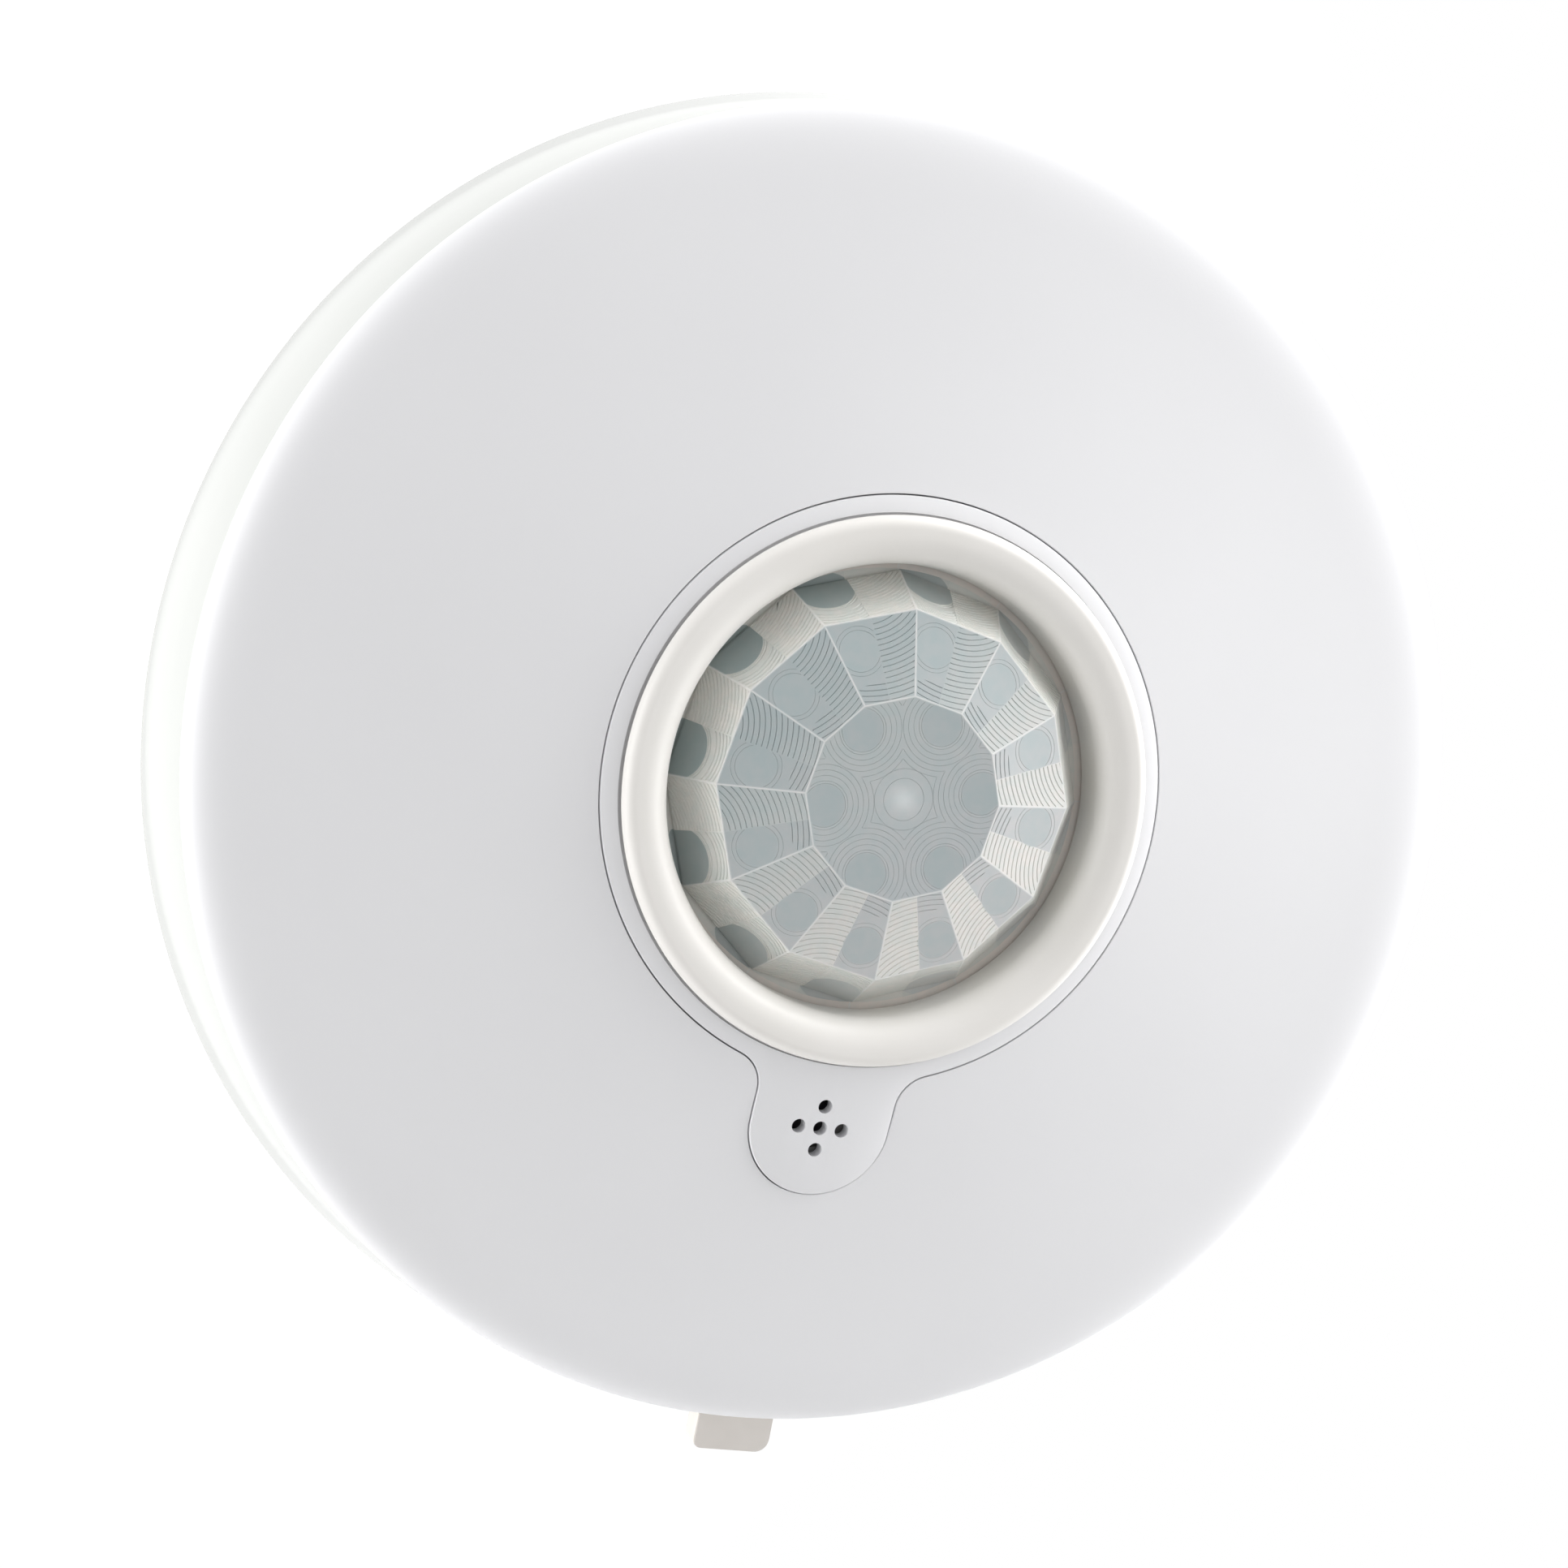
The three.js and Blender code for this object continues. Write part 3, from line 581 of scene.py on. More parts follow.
finger = [(tab_x + tab_half, -52), (tab_x - tab_half, -52)]
for centre_x, corner, first in ((tab_x - tab_half, 0.8, 180), (tab_x + tab_half, 1.3, 270)):
    inset = corner if first == 180 else -corner
    finger += arc(centre_x + inset, tab_end + corner, corner, first, first + 90, 8)
release_tab = piece("release_tab_fine", bar(finger, tab_back, tab_front, 0.22), tab_ivory)
slider_half = 5.75
slider_outline = [(tab_x - slider_half, -56.2), (tab_x + slider_half, -56.2),
                  (tab_x + slider_half, -51), (tab_x - slider_half, -51)]
nose = [block(catch_x, (-52.3, -51.01), (10.3, 13.5)), block(catch_x, (-52.6, -51.01), (12.6, 13.5))]
pin_centre = (tab_back + tab_front) / 2
pin = bmesh.new()
bmesh.ops.create_cone(pin, cap_ends=True, segments=24, radius1=0.7 * mm, radius2=0.7 * mm, depth=2.2 * mm)
pin.transform(Matrix.Translation(wall_point(tab_x, -50.1, pin_centre)))
carve(release_tab, bar(slider_outline, tab_back, tab_front, 0.15), *nose, pin, operation="UNION")
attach(release_tab, "release_tab")
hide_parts("release_tab")


def metal(name, colour, roughness, streaks=400.0):
    """A metal with fine streaks in its gloss."""
    material, shader, add, join = look(name)
    place = add("ShaderNodeTexCoord")
    stretch = add("ShaderNodeMapping", Scale=(1.0, 0.15, 1.0))
    noise = add("ShaderNodeTexNoise", Scale=streaks, Detail=4.0)
    gloss = add("ShaderNodeMapRange")
    gloss.inputs["To Min"].default_value = roughness - 0.08
    gloss.inputs["To Max"].default_value = roughness + 0.1
    tone = ramp(add, [(0.3, tuple(0.9 * level for level in colour)), (0.7, colour)])
    join(place.outputs["Object"], stretch.inputs["Vector"])
    join(stretch.outputs["Vector"], noise.inputs["Vector"])
    join(noise.outputs["Fac"], gloss.inputs["Value"])
    join(noise.outputs["Fac"], tone.inputs["Fac"])
    join(gloss.outputs["Result"], shader.inputs["Roughness"])
    join(tone.outputs["Color"], shader.inputs["Base Color"])
    shader.inputs["Metallic"].default_value = 1.0
    return material


def dress(material, *names):
    """Gives CAD nodes a finish in place of their own."""
    for name in names:
        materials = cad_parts[name].data.materials
        materials.clear()
        materials.append(material)


spring_steel = metal("spring steel wire", (0.55, 0.56, 0.58), 0.28)


def new_tree(name, kinds):
    """A Geometry Nodes tree with its sockets: the tree, its identifiers by name, and its input sockets."""
    tree = bpy.data.node_groups.new(name, "GeometryNodeTree")
    sockets = {key: tree.interface.new_socket(key, in_out="INPUT", socket_type="NodeSocket" + kind).identifier
               for key, kind in kinds.items()}
    tree.interface.new_socket("Geometry", in_out="OUTPUT", socket_type="NodeSocketGeometry")
    return tree, sockets, tree.nodes.new("NodeGroupInput").outputs


def end_tree(tree, geometry, finish):
    """Makes the tree's result real, gives it its finish and sends it out."""
    real = tree.nodes.new("GeometryNodeRealizeInstances")
    dressed = tree.nodes.new("GeometryNodeSetMaterial")
    result = tree.nodes.new("NodeGroupOutput")
    tree.links.new(geometry, real.inputs["Geometry"])
    tree.links.new(real.outputs["Geometry"], dressed.inputs["Geometry"])
    tree.links.new(finish, dressed.inputs["Material"])
    tree.links.new(dressed.outputs["Geometry"], result.inputs["Geometry"])


def result_of(thing, tree, sockets, settings):
    """The plain mesh that a tree makes of a piece, with the tree's named inputs set."""
    modifier = thing.modifiers.new("made", "NODES")
    modifier.node_group = tree
    for key, value in settings.items():
        modifier[sockets[key]] = value
    mesh = bpy.data.meshes.new_from_object(thing.evaluated_get(bpy.context.evaluated_depsgraph_get()))
    thing.modifiers.clear()
    return mesh


def grown(name, tree, sockets, settings, place):
    """A piece made by a node tree alone, and put in its place in its mesh."""
    thing = piece(name, bmesh.new(), settings["Finish"])
    thing.data = result_of(thing, tree, sockets, settings)
    thing.data.transform(place)
    thing.data.shade_smooth()
    thing.data.set_sharp_from_angle(angle=math.radians(30))
    return thing


spring_tree, spring_sockets, group = new_tree("coil spring", {
    "Radius": "Float", "Length": "Float", "Turns": "Float", "Wire radius": "Float", "Finish": "Material"})
coil = spring_tree.nodes.new("GeometryNodeCurveSpiral")
wire = spring_tree.nodes.new("GeometryNodeCurvePrimitiveCircle")
swept = spring_tree.nodes.new("GeometryNodeCurveToMesh")
coil.inputs["Resolution"].default_value = 28
wire.inputs["Resolution"].default_value = 10
swept.inputs["Fill Caps"].default_value = True
spring_tree.links.new(group["Turns"], coil.inputs["Rotations"])
spring_tree.links.new(group["Radius"], coil.inputs["Start Radius"])
spring_tree.links.new(group["Radius"], coil.inputs["End Radius"])
spring_tree.links.new(group["Length"], coil.inputs["Height"])
spring_tree.links.new(group["Wire radius"], wire.inputs["Radius"])
spring_tree.links.new(coil.outputs["Curve"], swept.inputs["Curve"])
spring_tree.links.new(wire.outputs["Curve"], swept.inputs["Profile Curve"])
end_tree(spring_tree, swept.outputs["Mesh"], group["Finish"])


def spring(node, wound_from, fixed_end, moving_end, radius, turns, wire_radius):
    """A coil spring between the base and a moving body, as long as its two ends are now apart. It is
    wound along the z axis of the place it is wound from."""
    place = wound_from @ Matrix.Translation((0, 0, wire_radius * mm))
    settings = {
        "Radius": radius * mm, "Length": (moving_end - fixed_end).length - 2 * wire_radius * mm,
        "Turns": turns, "Wire radius": wire_radius * mm, "Finish": spring_steel,
    }
    thing = grown(node + "_fine", spring_tree, spring_sockets, settings, place)
    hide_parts(node)
    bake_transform(thing)


latch_foot = wall_point(tab_x, -50.7, pin_centre)
latch_seat = wall_point(tab_x, -45.8, pin_centre)
spring("latch_spring", Matrix.Translation(latch_foot), latch_seat, latch_foot, 1.5, 5.0, 0.225)

# ---------------------------------------------------------------- lens
# The dome lens, moulded thin in milky polyethylene: a flat twelve-sided crown above two rings of facets.
# Curved grooves make one half of each facet a flat lens, and the other half has a small round one of its own.

lens_sides = 12
side_turn = 360 / lens_sides
first_corner = 24.7
crown = (9.0, 26.2)
shoulder = (16.4, 24.2)
foot = (19.5, 19.2)
flange_radius = 23.6
flange_top = 18.6
flange_bottom = 17.6
side_steps = 8


def clockwise(radius, degrees, out):
    """A point at a radius, turned clockwise from straight up as seen from the front."""
    turn = math.radians(degrees)
    return wall_point(radius * math.sin(turn), radius * math.cos(turn), out)


def twelve_sided(radius, out):
    """A ring of points along the sides of the lens, with its corners on a radius."""
    corners = [clockwise(radius, first_corner + side * side_turn, out) for side in range(lens_sides + 1)]
    return [start.lerp(end, step / side_steps)
            for start, end in zip(corners, corners[1:]) for step in range(side_steps)]


def round_ring(radius, out):
    """A round ring with as many points as a twelve-sided one."""
    return [clockwise(radius, first_corner + step * side_turn / side_steps, out)
            for step in range(lens_sides * side_steps)]


def facet(upper, lower):
    """Places (across, down the slope, outwards) in millimetres on the first facet below a ring, and gives the
    facet's half widths and its length down the slope."""
    middle = math.radians(first_corner - side_turn / 2)
    half_turn = math.radians(side_turn / 2)
    start = upper[0] * math.cos(half_turn)
    run = lower[0] * math.cos(half_turn) - start
    slope = math.atan2(upper[1] - lower[1], run)
    radial = Vector((math.sin(middle), 0, math.cos(middle)))
    across = Vector((math.cos(middle), 0, -math.sin(middle)))
    outwards = Vector((0, -1, 0))
    down = radial * math.cos(slope) - outwards * math.sin(slope)
    normal = radial * math.sin(slope) + outwards * math.cos(slope)
    turned_axes = Matrix((across, down, normal)).transposed().to_4x4()
    top_edge = (radial * start + outwards * upper[1]) * mm
    place = Matrix.Translation(top_edge) @ turned_axes @ Matrix.Scale(mm, 4)
    half_widths = [ring[0] * math.sin(half_turn) for ring in (upper, lower)]
    return place, half_widths, run / math.cos(slope)


groove_slope = 0.75
groove_lift = 0.03


def grooves(place, centre, radii, depth, sides=96):
    """Rings with a V-shaped section about a point on a facet, to cut its grooves with."""
    rings = bmesh.new()
    half = (depth + groove_lift) * groove_slope
    turns = [2 * math.pi * step / sides for step in range(sides)]
    for radius in radii:
        section = ((radius - half, groove_lift), (radius, -depth), (radius + half, groove_lift))
        rows = [[rings.verts.new((centre[0] + r * math.cos(a), centre[1] + r * math.sin(a), height))
                 for a in turns] for r, height in section]
        for low, high in zip(rows, rows[1:] + rows[:1]):
            for step in range(sides):
                ahead = (step + 1) % sides
                rings.faces.new((low[step], low[ahead], high[ahead], high[step]))
    bmesh.ops.recalc_face_normals(rings, faces=rings.faces)
    rings.transform(place)
    return rings


def zone(place, outline):
    """A prism through one zone of a facet."""
    body = bmesh.new()
    low, high = [[body.verts.new((x, down, height)) for x, down in outline] for height in (-0.5, 0.5)]
    body.faces.new(low)
    body.faces.new(high)
    for step in range(len(outline)):
        ahead = (step + 1) % len(outline)
        body.faces.new((low[step], low[ahead], high[ahead], high[step]))
    bmesh.ops.recalc_face_normals(body, faces=body.faces)
    body.transform(place)
    return body


def pitched(first, last, pitch):
    """Radii from first to last, a pitch apart."""
    return [first + pitch * step for step in range(int((last - first) / pitch) + 1)]


def cuts(name, *zones):
    """The grooves of several zones, each kept to its zone, as one object."""
    together = bmesh.new()
    for place, outline, centre, radii, depth in zones:
        part = piece("zone", grooves(place, centre, radii, depth), milky)
        carve(part, zone(place, outline), operation="INTERSECT")
        together.from_mesh(part.data)
        bpy.data.objects.remove(part)
    return piece(name, together, milky)


milky, shader, add, join = look("milky polyethylene")


def worked(operation, first, second=0.0, third=0.0):
    """A maths node in the material being made, over sources that are each a socket or a number."""
    node = add("ShaderNodeMath", operation=operation)
    for socket, source in zip(node.inputs, (first, second, third)):
        if isinstance(source, (int, float)):
            socket.default_value = source
        else:
            join(source, socket)
    return node.outputs["Value"]


def kept_to_1(source):
    """A value limited to 0 to 1."""
    return worked("MINIMUM", worked("MAXIMUM", source, 0.0), 1.0)


def blended(amount, first, second, blend_type="MIX"):
    """A colour mix in the material being made, between two sources that are each a socket or a colour."""
    node = add("ShaderNodeMix", data_type="RGBA", blend_type=blend_type)
    if isinstance(amount, float):
        node.inputs["Factor"].default_value = amount
    else:
        join(amount, node.inputs["Factor"])
    for name, source in (("A", first), ("B", second)):
        socket = [s for s in node.inputs if s.name == name and s.type == "RGBA"][0]
        if isinstance(source, tuple):
            socket.default_value = (*source, 1)
        else:
            join(source, socket)
    return [s for s in node.outputs if s.type == "RGBA"][0]


place = add("ShaderNodeTexCoord")
axes = add("ShaderNodeSeparateXYZ")
join(place.outputs["Object"], axes.inputs["Vector"])
right = worked("DIVIDE", axes.outputs["X"], mm)
up = worked("DIVIDE", axes.outputs["Z"], mm)
reach = worked("SQRT", worked("ADD", worked("MULTIPLY", right, right), worked("MULTIPLY", up, up)))
heading = worked("DEGREES", worked("ARCTAN2", right, up))


def within_turn(first_middle, turn):
    """The angle from the middle of the nearest of several equal sectors, in radians."""
    shifted = worked("DIVIDE", worked("SUBTRACT", heading, first_middle - turn / 2), turn)
    return worked("RADIANS", worked("MULTIPLY", worked("SUBTRACT", worked("FRACT", shifted), 0.5), turn))


def disc_mask(angle, across, along, radius, squeeze=1.0):
    """1 inside a round zone of each sector and 0 outside it, with a soft edge."""
    x = worked("SUBTRACT", worked("MULTIPLY", reach, worked("SINE", angle)), across)
    y = worked("SUBTRACT", worked("MULTIPLY", reach, worked("COSINE", angle)), along)
    y = worked("DIVIDE", y, squeeze)
    away = worked("SQRT", worked("ADD", worked("MULTIPLY", x, x), worked("MULTIPLY", y, y)))
    return kept_to_1(worked("DIVIDE", worked("SUBTRACT", radius, away), 0.12))


crown_lens_count = 6
crown_lens_turn = 17
crown_lens_place = (0, 7.25)
target_place = (-1.67, 13.25)
target_radius = 1.84
window_place = (-2.45, 18.4)
facet_angle = within_turn(first_corner - side_turn / 2, side_turn)
crown_angle = within_turn(crown_lens_turn, 360 / crown_lens_count)
# Painted light: the lens is coloured creamier and lighter towards the lower right, where light from the right
# passes through it, and bluish grey towards the upper left.
to_right_and_down = worked("SUBTRACT", worked("MULTIPLY", right, 0.7), worked("MULTIPLY", up, 0.7))
painted_light_lower_right = kept_to_1(worked("MULTIPLY_ADD", to_right_and_down, 0.045, 0.5))
grooved_tone = blended(painted_light_lower_right, (0.43, 0.48, 0.49), (0.78, 0.76, 0.73))
smooth_tone = blended(painted_light_lower_right, (0.43, 0.475, 0.485), (0.58, 0.585, 0.59))
on_grooves = worked("GREATER_THAN", facet_angle, 0.0)
upper_tone = blended(on_grooves, smooth_tone, grooved_tone)
target = disc_mask(facet_angle, *target_place, target_radius, 0.963)
upper_tone = blended(worked("MULTIPLY", target, 0.55), upper_tone, (0.42, 0.48, 0.49))
# Painted light: the lower ring is coloured light, standing in for light that the milky plastic scatters
# through it.
lower_tone = blended(on_grooves, (0.72, 0.725, 0.69), (0.76, 0.755, 0.715))
off_grooves = worked("SUBTRACT", 1.0, on_grooves)
window = worked("MULTIPLY", off_grooves, disc_mask(facet_angle, *window_place, 2.75, 0.514))
lit = kept_to_1(worked("MULTIPLY_ADD", worked("MULTIPLY_ADD", up, -0.4, right), 0.03, 0.5))
window_tone = blended(lit, (0.34, 0.40, 0.40), (0.68, 0.69, 0.68))
lower_tone = blended(window, lower_tone, window_tone)
crown_tone = blended(painted_light_lower_right, (0.46, 0.50, 0.50), (0.475, 0.495, 0.51))
crown_tone = blended(disc_mask(crown_angle, *crown_lens_place, 1.9), crown_tone, (0.415, 0.46, 0.47))
inradius = math.cos(math.radians(side_turn / 2))
level = worked("MULTIPLY", reach, worked("COSINE", facet_angle))
past_crown = worked("GREATER_THAN", level, crown[0] * inradius)
past_shoulder = worked("GREATER_THAN", level, shoulder[0] * inradius)
tone = blended(past_shoulder, blended(past_crown, crown_tone, upper_tone), lower_tone)
tone = blended(worked("GREATER_THAN", reach, foot[0] + 0.1), tone, (0.85, 0.79, 0.74))
# Painted highlight: the ridges between facets and the edges of the rings are coloured whitish, where they
# catch the light.
aside = worked("SUBTRACT", side_turn / 2, worked("DEGREES", worked("ABSOLUTE", facet_angle)))
aside = worked("MULTIPLY", worked("RADIANS", aside), reach)
edges = [worked("ABSOLUTE", worked("SUBTRACT", level, ring[0] * inradius)) for ring in (crown, shoulder)]
nearest = worked("MINIMUM", edges[0], edges[1])
nearest = worked("MINIMUM", nearest, worked("ADD", aside, worked("LESS_THAN", level, crown[0] * inradius)))
ridge_highlight = worked("MAXIMUM", worked("DIVIDE", worked("SUBTRACT", 0.13, nearest), 0.13), 0.0)
tone = blended(worked("MULTIPLY", ridge_highlight, 0.75), tone, (0.84, 0.83, 0.82))
mottle = add("ShaderNodeTexNoise", Scale=900.0, Detail=2.0)
join(place.outputs["Object"], mottle.inputs["Vector"])
tint = ramp(add, [(0.35, (0.94, 0.97, 0.97)), (0.65, (1.0, 0.99, 0.985))])
join(mottle.outputs["Fac"], tint.inputs["Fac"])
join(blended(1.0, tone, tint.outputs["Color"], "MULTIPLY"), shader.inputs["Base Color"])
shader.inputs["Roughness"].default_value = 0.30
shader.inputs["Coat Weight"].default_value = 0.25
shader.inputs["Coat Roughness"].default_value = 0.06

inner_foot = (18.65, 19.0)
inner_shoulder = (15.95, 23.5)
inner_crown = (8.9, 25.5)
outside = [[wall_point(0, 0, crown[1])], twelve_sided(*crown), twelve_sided(*shoulder), twelve_sided(*foot)]
flange = [twelve_sided(foot[0], flange_top), round_ring(flange_radius, flange_top),
          round_ring(flange_radius, flange_bottom), twelve_sided(inner_foot[0], flange_bottom)]
hollow = [twelve_sided(*inner_foot), twelve_sided(*inner_shoulder), twelve_sided(*inner_crown),
          [wall_point(0, 0, inner_crown[1])]]
lens = piece("lens", ring_surface(outside + flange + hollow), milky, crease=6)

ridge = 0.12
grooved_depth = 0.08
lower_depth = 0.10
crown_depth = 0.035
upper_place, (top_half, shoulder_half), upper_length = facet(crown, shoulder)
lower_place, (shoulder_half, foot_half), lower_length = facet(shoulder, foot)


def quarter(side, near, far, near_half, far_half):
    """The outline of a stretch of one half of a facet, a ridge short of its borders."""
    edge = [(ridge / 2, near), (near_half - ridge, near), (far_half - ridge, far), (ridge / 2, far)]
    return [(side * x, down) for x, down in edge]


facet_cuts = cuts(
    "facet_cuts",
    (upper_place, quarter(1, ridge, upper_length - ridge, top_half, shoulder_half),
     (0, 11.2), pitched(3.4, 11.4, 0.48), grooved_depth),
    (upper_place, quarter(-1, ridge, 1.7, top_half, top_half + 0.35),
     (0, 11.2), pitched(3.4, 11.4, 0.48), grooved_depth),
    (upper_place, quarter(-1, 1.8, upper_length - ridge, top_half + 0.4, shoulder_half),
     (target_place[0], 4.73), (target_radius, 2.2), crown_depth),
    (lower_place, quarter(1, ridge, lower_length, shoulder_half, foot_half),
     (0, 9.5), pitched(3.4, 10.6, 0.38), lower_depth),
    (lower_place, quarter(-1, ridge, lower_length, shoulder_half, foot_half),
     (window_place[0], 4.98), (2.8, 3.05, 3.7, *pitched(4.1, 6.4, 0.36)), lower_depth),
)

crown_turn = math.radians(crown_lens_turn)
crown_axes = Matrix((
    (math.cos(crown_turn), math.sin(crown_turn), 0),
    (0, 0, -1),
    (-math.sin(crown_turn), math.cos(crown_turn), 0),
)).to_4x4()
crown_place = Matrix.Translation(wall_point(0, 0, crown[1])) @ crown_axes @ Matrix.Scale(mm, 4)
sixth = [(2.95, -29.5), (8.6, -29.5), (8.8, -22.3), (8.8, 7.7), (8.6, 29.5), (2.95, 29.5)]
sixth = [(r * math.sin(math.radians(a)), r * math.cos(math.radians(a))) for r, a in sixth]
crown_radii = (1.9, 2.12, *pitched(2.6, 6.2, 0.48))
crown_cuts = cuts("crown_cuts", (crown_place, sixth, crown_lens_place, crown_radii, crown_depth))
carve(lens, grooves(crown_place, (0, 0), (1.85, 2.7), crown_depth), crease=6)

tree, lens_sockets, group = new_tree("lens grooves", {
    "Geometry": "Geometry", "Facet cuts": "Object", "Facets": "Int", "Crown cuts": "Object",
    "Crown lenses": "Int", "Plastic": "Material"})
cut = tree.nodes.new("GeometryNodeMeshBoolean")
cut.operation = "DIFFERENCE"
cut.solver = "MANIFOLD"
tree.links.new(group["Geometry"], cut.inputs["Mesh 1"])
for cutter, count in (("Facet cuts", "Facets"), ("Crown cuts", "Crown lenses")):
    points = tree.nodes.new("GeometryNodeMeshLine")
    points.inputs["Offset"].default_value = (0, 0, 0)
    tree.links.new(group[count], points.inputs["Count"])
    shape = tree.nodes.new("GeometryNodeObjectInfo")
    tree.links.new(group[cutter], shape.inputs["Object"])
    turn = tree.nodes.new("ShaderNodeMath")
    turn.operation = "DIVIDE"
    turn.inputs[0].default_value = 2 * math.pi
    tree.links.new(group[count], turn.inputs[1])
    index = tree.nodes.new("GeometryNodeInputIndex")
    total = tree.nodes.new("ShaderNodeMath")
    total.operation = "MULTIPLY"
    tree.links.new(index.outputs["Index"], total.inputs[0])
    tree.links.new(turn.outputs["Value"], total.inputs[1])
    turns = tree.nodes.new("ShaderNodeCombineXYZ")
    tree.links.new(total.outputs["Value"], turns.inputs["Y"])
    copies = tree.nodes.new("GeometryNodeInstanceOnPoints")
    tree.links.new(points.outputs["Mesh"], copies.inputs["Points"])
    tree.links.new(shape.outputs["Geometry"], copies.inputs["Instance"])
    tree.links.new(turns.outputs["Vector"], copies.inputs["Rotation"])
    solid = tree.nodes.new("GeometryNodeRealizeInstances")
    tree.links.new(copies.outputs["Instances"], solid.inputs["Geometry"])
    tree.links.new(solid.outputs["Geometry"], cut.inputs["Mesh 2"])
end_tree(tree, cut.outputs["Mesh"], group["Plastic"])

settings = {"Facet cuts": facet_cuts, "Facets": lens_sides, "Crown cuts": crown_cuts,
            "Crown lenses": crown_lens_count, "Plastic": milky}
lens.data = result_of(lens, tree, lens_sockets, settings)
lens.data.shade_smooth()
lens.data.set_sharp_from_angle(angle=math.radians(6))
bpy.data.objects.remove(facet_cuts)
bpy.data.objects.remove(crown_cuts)
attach(lens, "cover")
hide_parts("fresnel_lens")

# ---------------------------------------------------------------- lens retainer and all screws
# A ring of plain off-white moulding that holds the lens flange against the cover with three pan-head screws.
# The same kind of screw, larger or shorter, holds the board and clamps the cable cores.

inner_white = moulded("off-white moulding", (0.70, 0.69, 0.65), (0.75, 0.74, 0.70), 0.55)
dress(inner_white, "lens_retainer")
plated_steel = metal("zinc-plated steel", (0.66, 0.67, 0.69), 0.3)

tree, screw_sockets, group = new_tree("pan-head screw", {
    "Head radius": "Float", "Head height": "Float", "Shank radius": "Float", "Thread pitch": "Float",
    "Threads": "Int", "Slot": "Vector", "Finish": "Material"})


def tree_math(operation, first, second):
    """A maths node in the screw's tree, over sockets or numbers."""
    node = tree.nodes.new("ShaderNodeMath")
    node.operation = operation
    for socket, source in zip(node.inputs, (first, second)):
        if isinstance(source, (int, float)):
            socket.default_value = source
        else:
            tree.links.new(source, socket)
    return node.outputs["Value"]


def lifted(geometry, height):
    """Geometry moved up the screw's axis."""
    offset = tree.nodes.new("ShaderNodeCombineXYZ")
    move = tree.nodes.new("GeometryNodeTransform")
    tree.links.new(height, offset.inputs["Z"])
    tree.links.new(offset.outputs["Vector"], move.inputs["Translation"])
    tree.links.new(geometry, move.inputs["Geometry"])
    return move.outputs["Geometry"]


def cone(bottom, top, depth, sides):
    """A closed cone with its wide end down, its base at height 0."""
    node = tree.nodes.new("GeometryNodeMeshCone")
    node.inputs["Vertices"].default_value = sides
    tree.links.new(bottom, node.inputs["Radius Bottom"])
    tree.links.new(top, node.inputs["Radius Top"])
    tree.links.new(depth, node.inputs["Depth"])
    return node.outputs["Mesh"]


head = cone(group["Head radius"], tree_math("MULTIPLY", group["Head radius"], 0.8), group["Head height"], 32)
slot = tree.nodes.new("GeometryNodeMeshCube")
tree.links.new(group["Slot"], slot.inputs["Size"])
slotted = tree.nodes.new("GeometryNodeMeshBoolean")
slotted.operation = "DIFFERENCE"
slotted.solver = "MANIFOLD"
tree.links.new(head, slotted.inputs["Mesh 1"])
tree.links.new(lifted(slot.outputs["Mesh"], group["Head height"]), slotted.inputs["Mesh 2"])
stack = tree.nodes.new("GeometryNodeMeshLine")
tree.links.new(group["Threads"], stack.inputs["Count"])
down = tree.nodes.new("ShaderNodeCombineXYZ")
tree.links.new(tree_math("MULTIPLY", group["Thread pitch"], -1), down.inputs["Z"])
tree.links.new(down.outputs["Vector"], stack.inputs["Offset"])
ridge_height = tree_math("MULTIPLY", group["Thread pitch"], 1.02)
thread = cone(tree_math("MULTIPLY", group["Shank radius"], 0.78), group["Shank radius"], ridge_height, 20)
thread = lifted(thread, tree_math("MULTIPLY", group["Thread pitch"], -1))
threads = tree.nodes.new("GeometryNodeInstanceOnPoints")
tree.links.new(stack.outputs["Mesh"], threads.inputs["Points"])
tree.links.new(thread, threads.inputs["Instance"])
both = tree.nodes.new("GeometryNodeJoinGeometry")
tree.links.new(slotted.outputs["Mesh"], both.inputs["Geometry"])
tree.links.new(threads.outputs["Instances"], both.inputs["Geometry"])
end_tree(tree, both.outputs["Geometry"], group["Finish"])
screw_tree = tree


def screw(node, body, spot, seat, tip, head, shank_radius):
    """A screw whose head rests at a height out of the wall and whose tip points to another."""
    radius, height = head
    towards = 90 if seat > tip else -90
    place = Matrix.Translation(wall_point(*spot, seat)) @ Matrix.Rotation(math.radians(towards), 4, "X")
    pitch = 0.5
    settings = {
        "Head radius": radius * mm, "Head height": height * mm, "Shank radius": shank_radius * mm,
        "Thread pitch": pitch * mm, "Threads": round(abs(tip - seat) / pitch),
        "Slot": (3 * radius * mm, 0.5 * mm, 1.0 * mm), "Finish": plated_steel,
    }
    thing = grown(node + "_fine", screw_tree, screw_sockets, settings, place)
    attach(thing, body)
    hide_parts(node)


for number, spot in enumerate(retainer_spots, 1):
    screw(f"retainer_screw_{number}", "cover", spot, 15.7, 19.9, (1.9, 1.3), 0.8)
for number, spot in enumerate(board_screw_spots, 1):
    screw(f"board_screw_{number}", "base", spot, 7.9, 3.6, (2.8, 1.6), 1.1)
for number in range(1, 7):
    spot = (5 * (number - 3.5), 32.5)
    screw(f"terminal_screw_{number}", f"terminal_screw_{number}", spot, 14.6, 12.9, (1.8, 1.8), 1.1)

# ---------------------------------------------------------------- circuit board and small parts
# Green glass-fibre board with its tracks under the solder mask. Chip resistors stand in rows, and each chip
# has tinned legs down both sides.

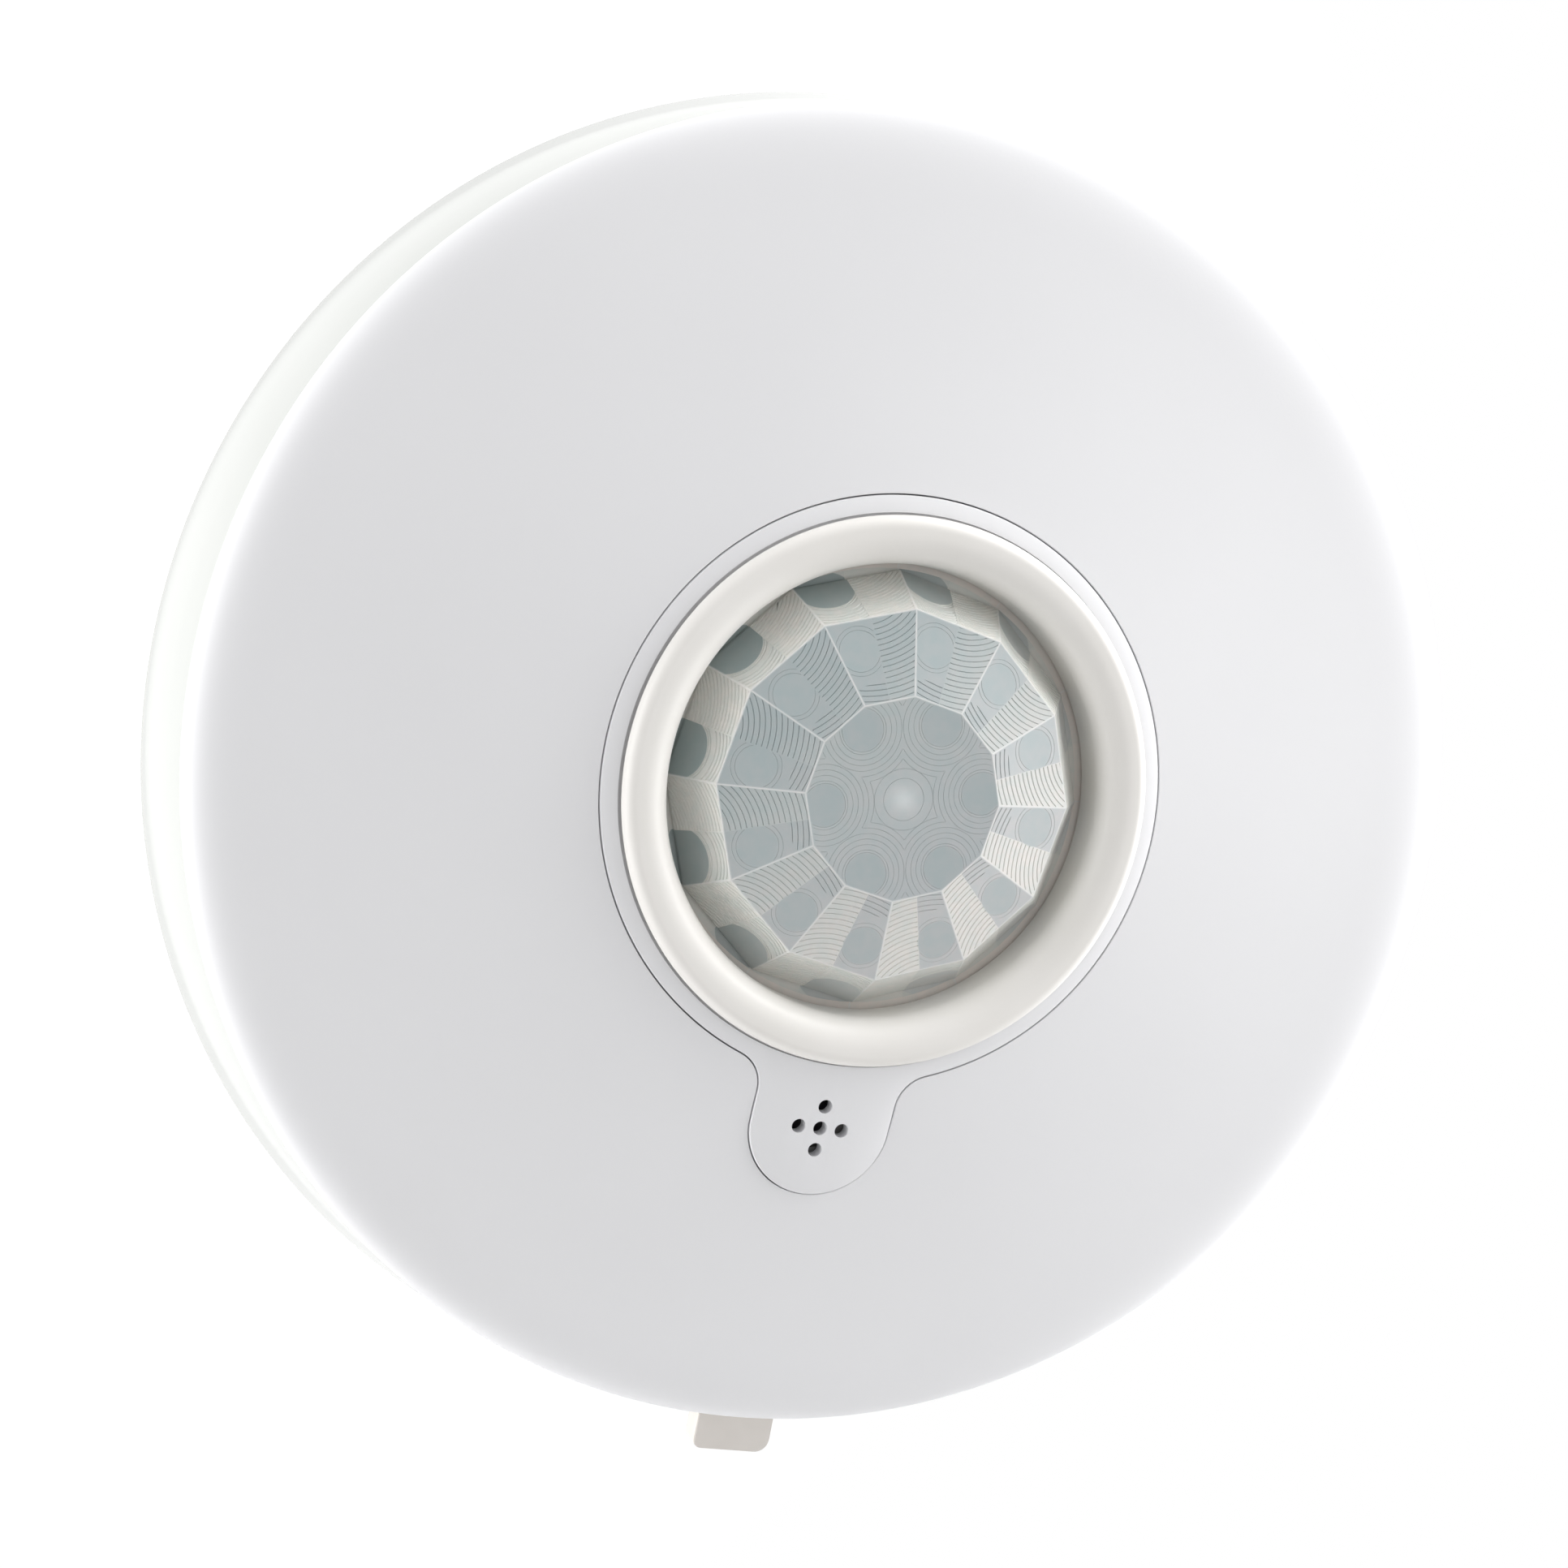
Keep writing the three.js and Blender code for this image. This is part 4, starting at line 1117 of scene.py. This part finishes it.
green_board, shader, add, join = look("green solder mask")
place = add("ShaderNodeTexCoord")
face_on = add("ShaderNodeMapping", Rotation=(math.radians(90), 0, 0))
tracks = add("ShaderNodeTexBrick", offset=0.37, squash=1.9, squash_frequency=3, Scale=150.0)
tracks.inputs["Brick Width"].default_value = 2.6
tracks.inputs["Row Height"].default_value = 0.19
tracks.inputs["Mortar Size"].default_value = 0.02
tracks.inputs["Mortar Smooth"].default_value = 0.2
lands = add("ShaderNodeTexVoronoi", feature="F1", Scale=420.0)
track_tone = ramp(add, [(0.3, (0.016, 0.15, 0.055)), (0.6, (0.03, 0.215, 0.083))])
land_mask = ramp(add, [(0.0, (1, 1, 1)), (0.12, (1, 1, 1)), (0.15, (0, 0, 0))])
join(place.outputs["Object"], face_on.inputs["Vector"])
join(face_on.outputs["Vector"], tracks.inputs["Vector"])
join(place.outputs["Object"], lands.inputs["Vector"])
join(tracks.outputs["Fac"], track_tone.inputs["Fac"])
join(lands.outputs["Distance"], land_mask.inputs["Fac"])
lands_over = blended(land_mask.outputs["Color"], track_tone.outputs["Color"], (0.55, 0.55, 0.52))
join(lands_over, shader.inputs["Base Color"])
shader.inputs["Roughness"].default_value = 0.32
dress(green_board, "circuit_board")

black_plastic = moulded("black moulded case", (0.018, 0.018, 0.02), (0.03, 0.03, 0.033), 0.45,
                        cloud_scale=300.0, grain=0.1)
tinned = metal("tinned legs", (0.72, 0.72, 0.70), 0.25)
dress(black_plastic, "microcontroller", "amplifier_chip", "microphone_capsule", "tamper_body",
      "jumper_header")

row_tree, row_sockets, group = new_tree("row of blocks", {
    "Count": "Int", "Step": "Vector", "Size": "Vector", "Finish": "Material"})
line_of_points = row_tree.nodes.new("GeometryNodeMeshLine")
box = row_tree.nodes.new("GeometryNodeMeshCube")
copies = row_tree.nodes.new("GeometryNodeInstanceOnPoints")
row_tree.links.new(group["Count"], line_of_points.inputs["Count"])
row_tree.links.new(group["Step"], line_of_points.inputs["Offset"])
row_tree.links.new(group["Size"], box.inputs["Size"])
row_tree.links.new(line_of_points.outputs["Mesh"], copies.inputs["Points"])
row_tree.links.new(box.outputs["Mesh"], copies.inputs["Instance"])
end_tree(row_tree, copies.outputs["Instances"], group["Finish"])


def row(name, start, step, count, size, finish):
    """A row of equal blocks on the board: centre of the first, step and size as (x, up, out)."""
    settings = {"Count": count, "Step": (step[0] * mm, 0, step[1] * mm),
                "Size": (size[0] * mm, size[2] * mm, size[1] * mm), "Finish": finish}
    place = Matrix.Translation(wall_point(*start))
    thing = grown(name, row_tree, row_sockets, settings, place)
    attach(thing, "base")


board_top = 7.6
leg_size = (1.5, 0.45, 0.3)
leg_rows = (
    # name, x and up of the lowest leg, pitch, count
    ("controller_legs_left", -22.5, -19.2, 1.2, 8),
    ("controller_legs_right", -11.5, -19.2, 1.2, 8),
    ("amplifier_legs_left", 12.5, 11.2, 1.27, 6),
    ("amplifier_legs_right", 18.5, 11.2, 1.27, 6),
)
for name, x, up, pitch, count in leg_rows:
    row(name, (x, up, board_top + 0.25), (0, pitch), count, leg_size, tinned)
resistor_rows = ((-20, -6.5, 5), (-36, 14, 4), (9, 22.5, 5), (26, 16, 2), (-4, -20, 4))
resistor_pitch = (2.4, 0)
resistor_out = board_top + 0.35
for number, (x, up, count) in enumerate(resistor_rows, 1):
    row(f"resistor_row_{number}", (x, up, resistor_out), resistor_pitch, count, (1.2, 0.9, 0.5),
        black_plastic)
    for end, side in enumerate((-1, 1), 1):
        row(f"resistor_ends_{number}_{end}", (x + side * 0.8, up, resistor_out), resistor_pitch, count,
            (0.4, 1.0, 0.55), tinned)

# ---------------------------------------------------------------- sensor, lamp and microphone
# The infrared sensor is a nickel can with a dark window, on a white holder under the lens. The lamp is clear
# red, and the microphone sits in a grey rubber boot behind the sound holes.

nickel = metal("nickel can", (0.64, 0.62, 0.58), 0.22)
dress(nickel, "pyro_sensor", "clock_crystal")
dress(inner_white, "sensor_holder")
dark_window = moulded("infrared filter", (0.02, 0.018, 0.03), (0.035, 0.03, 0.05), 0.08,
                      cloud_scale=60.0, grain=0.0)
dress(dark_window, "sensor_window")
red_clear = moulded("red lamp resin", (0.55, 0.03, 0.02), (0.65, 0.05, 0.04), 0.12,
                    cloud_scale=60.0, grain=0.0)
dress(red_clear, "walk_test_led", "jumper_cap_1", "jumper_cap_2")
grey_rubber = moulded("grey rubber", (0.30, 0.30, 0.295), (0.36, 0.36, 0.355), 0.8,
                      cloud_scale=200.0, grain=0.2)
dress(grey_rubber, "microphone_boot")

# ---------------------------------------------------------------- relay, capacitors, terminals and settings
# Bought-in parts: a blue relay and trimmer, black sleeved capacitors, a green screw terminal block, and red
# caps on the setting pins. The trimmer's rotor and the tamper plunger are white.

blue_plastic = moulded("blue moulded case", (0.03, 0.10, 0.36), (0.04, 0.13, 0.42), 0.35)
green_plastic = moulded("green terminal moulding", (0.02, 0.27, 0.10), (0.03, 0.32, 0.13), 0.45)
sleeve = moulded("black sleeve", (0.015, 0.016, 0.02), (0.03, 0.03, 0.035), 0.25)
dress(blue_plastic, "alarm_relay", "range_trimmer")
dress(green_plastic, "terminal_block")
dress(sleeve, "capacitor_1", "capacitor_2")
dress(inner_white, "trimmer_rotor", "tamper_plunger")
tamper_seat = wall_point(*tamper_spot, 8.9)
tamper_collar = wall_point(*tamper_spot, 10.1)
outwards = Matrix.Rotation(math.radians(90), 4, "X")
spring("tamper_spring", Matrix.Translation(tamper_seat) @ outwards, tamper_seat,
       tamper_collar, 1.65, 3.0, 0.15)

# ---------------------------------------------------------------- cable grommet
# A soft ring of moulded black rubber, pressed into the hole in the base. It seals the cable where it comes
# through.

black_rubber = moulded("black rubber", (0.02, 0.02, 0.02), (0.035, 0.035, 0.035), 0.75,
                       cloud_scale=200.0, grain=0.2)
dress(black_rubber, "cable_grommet")
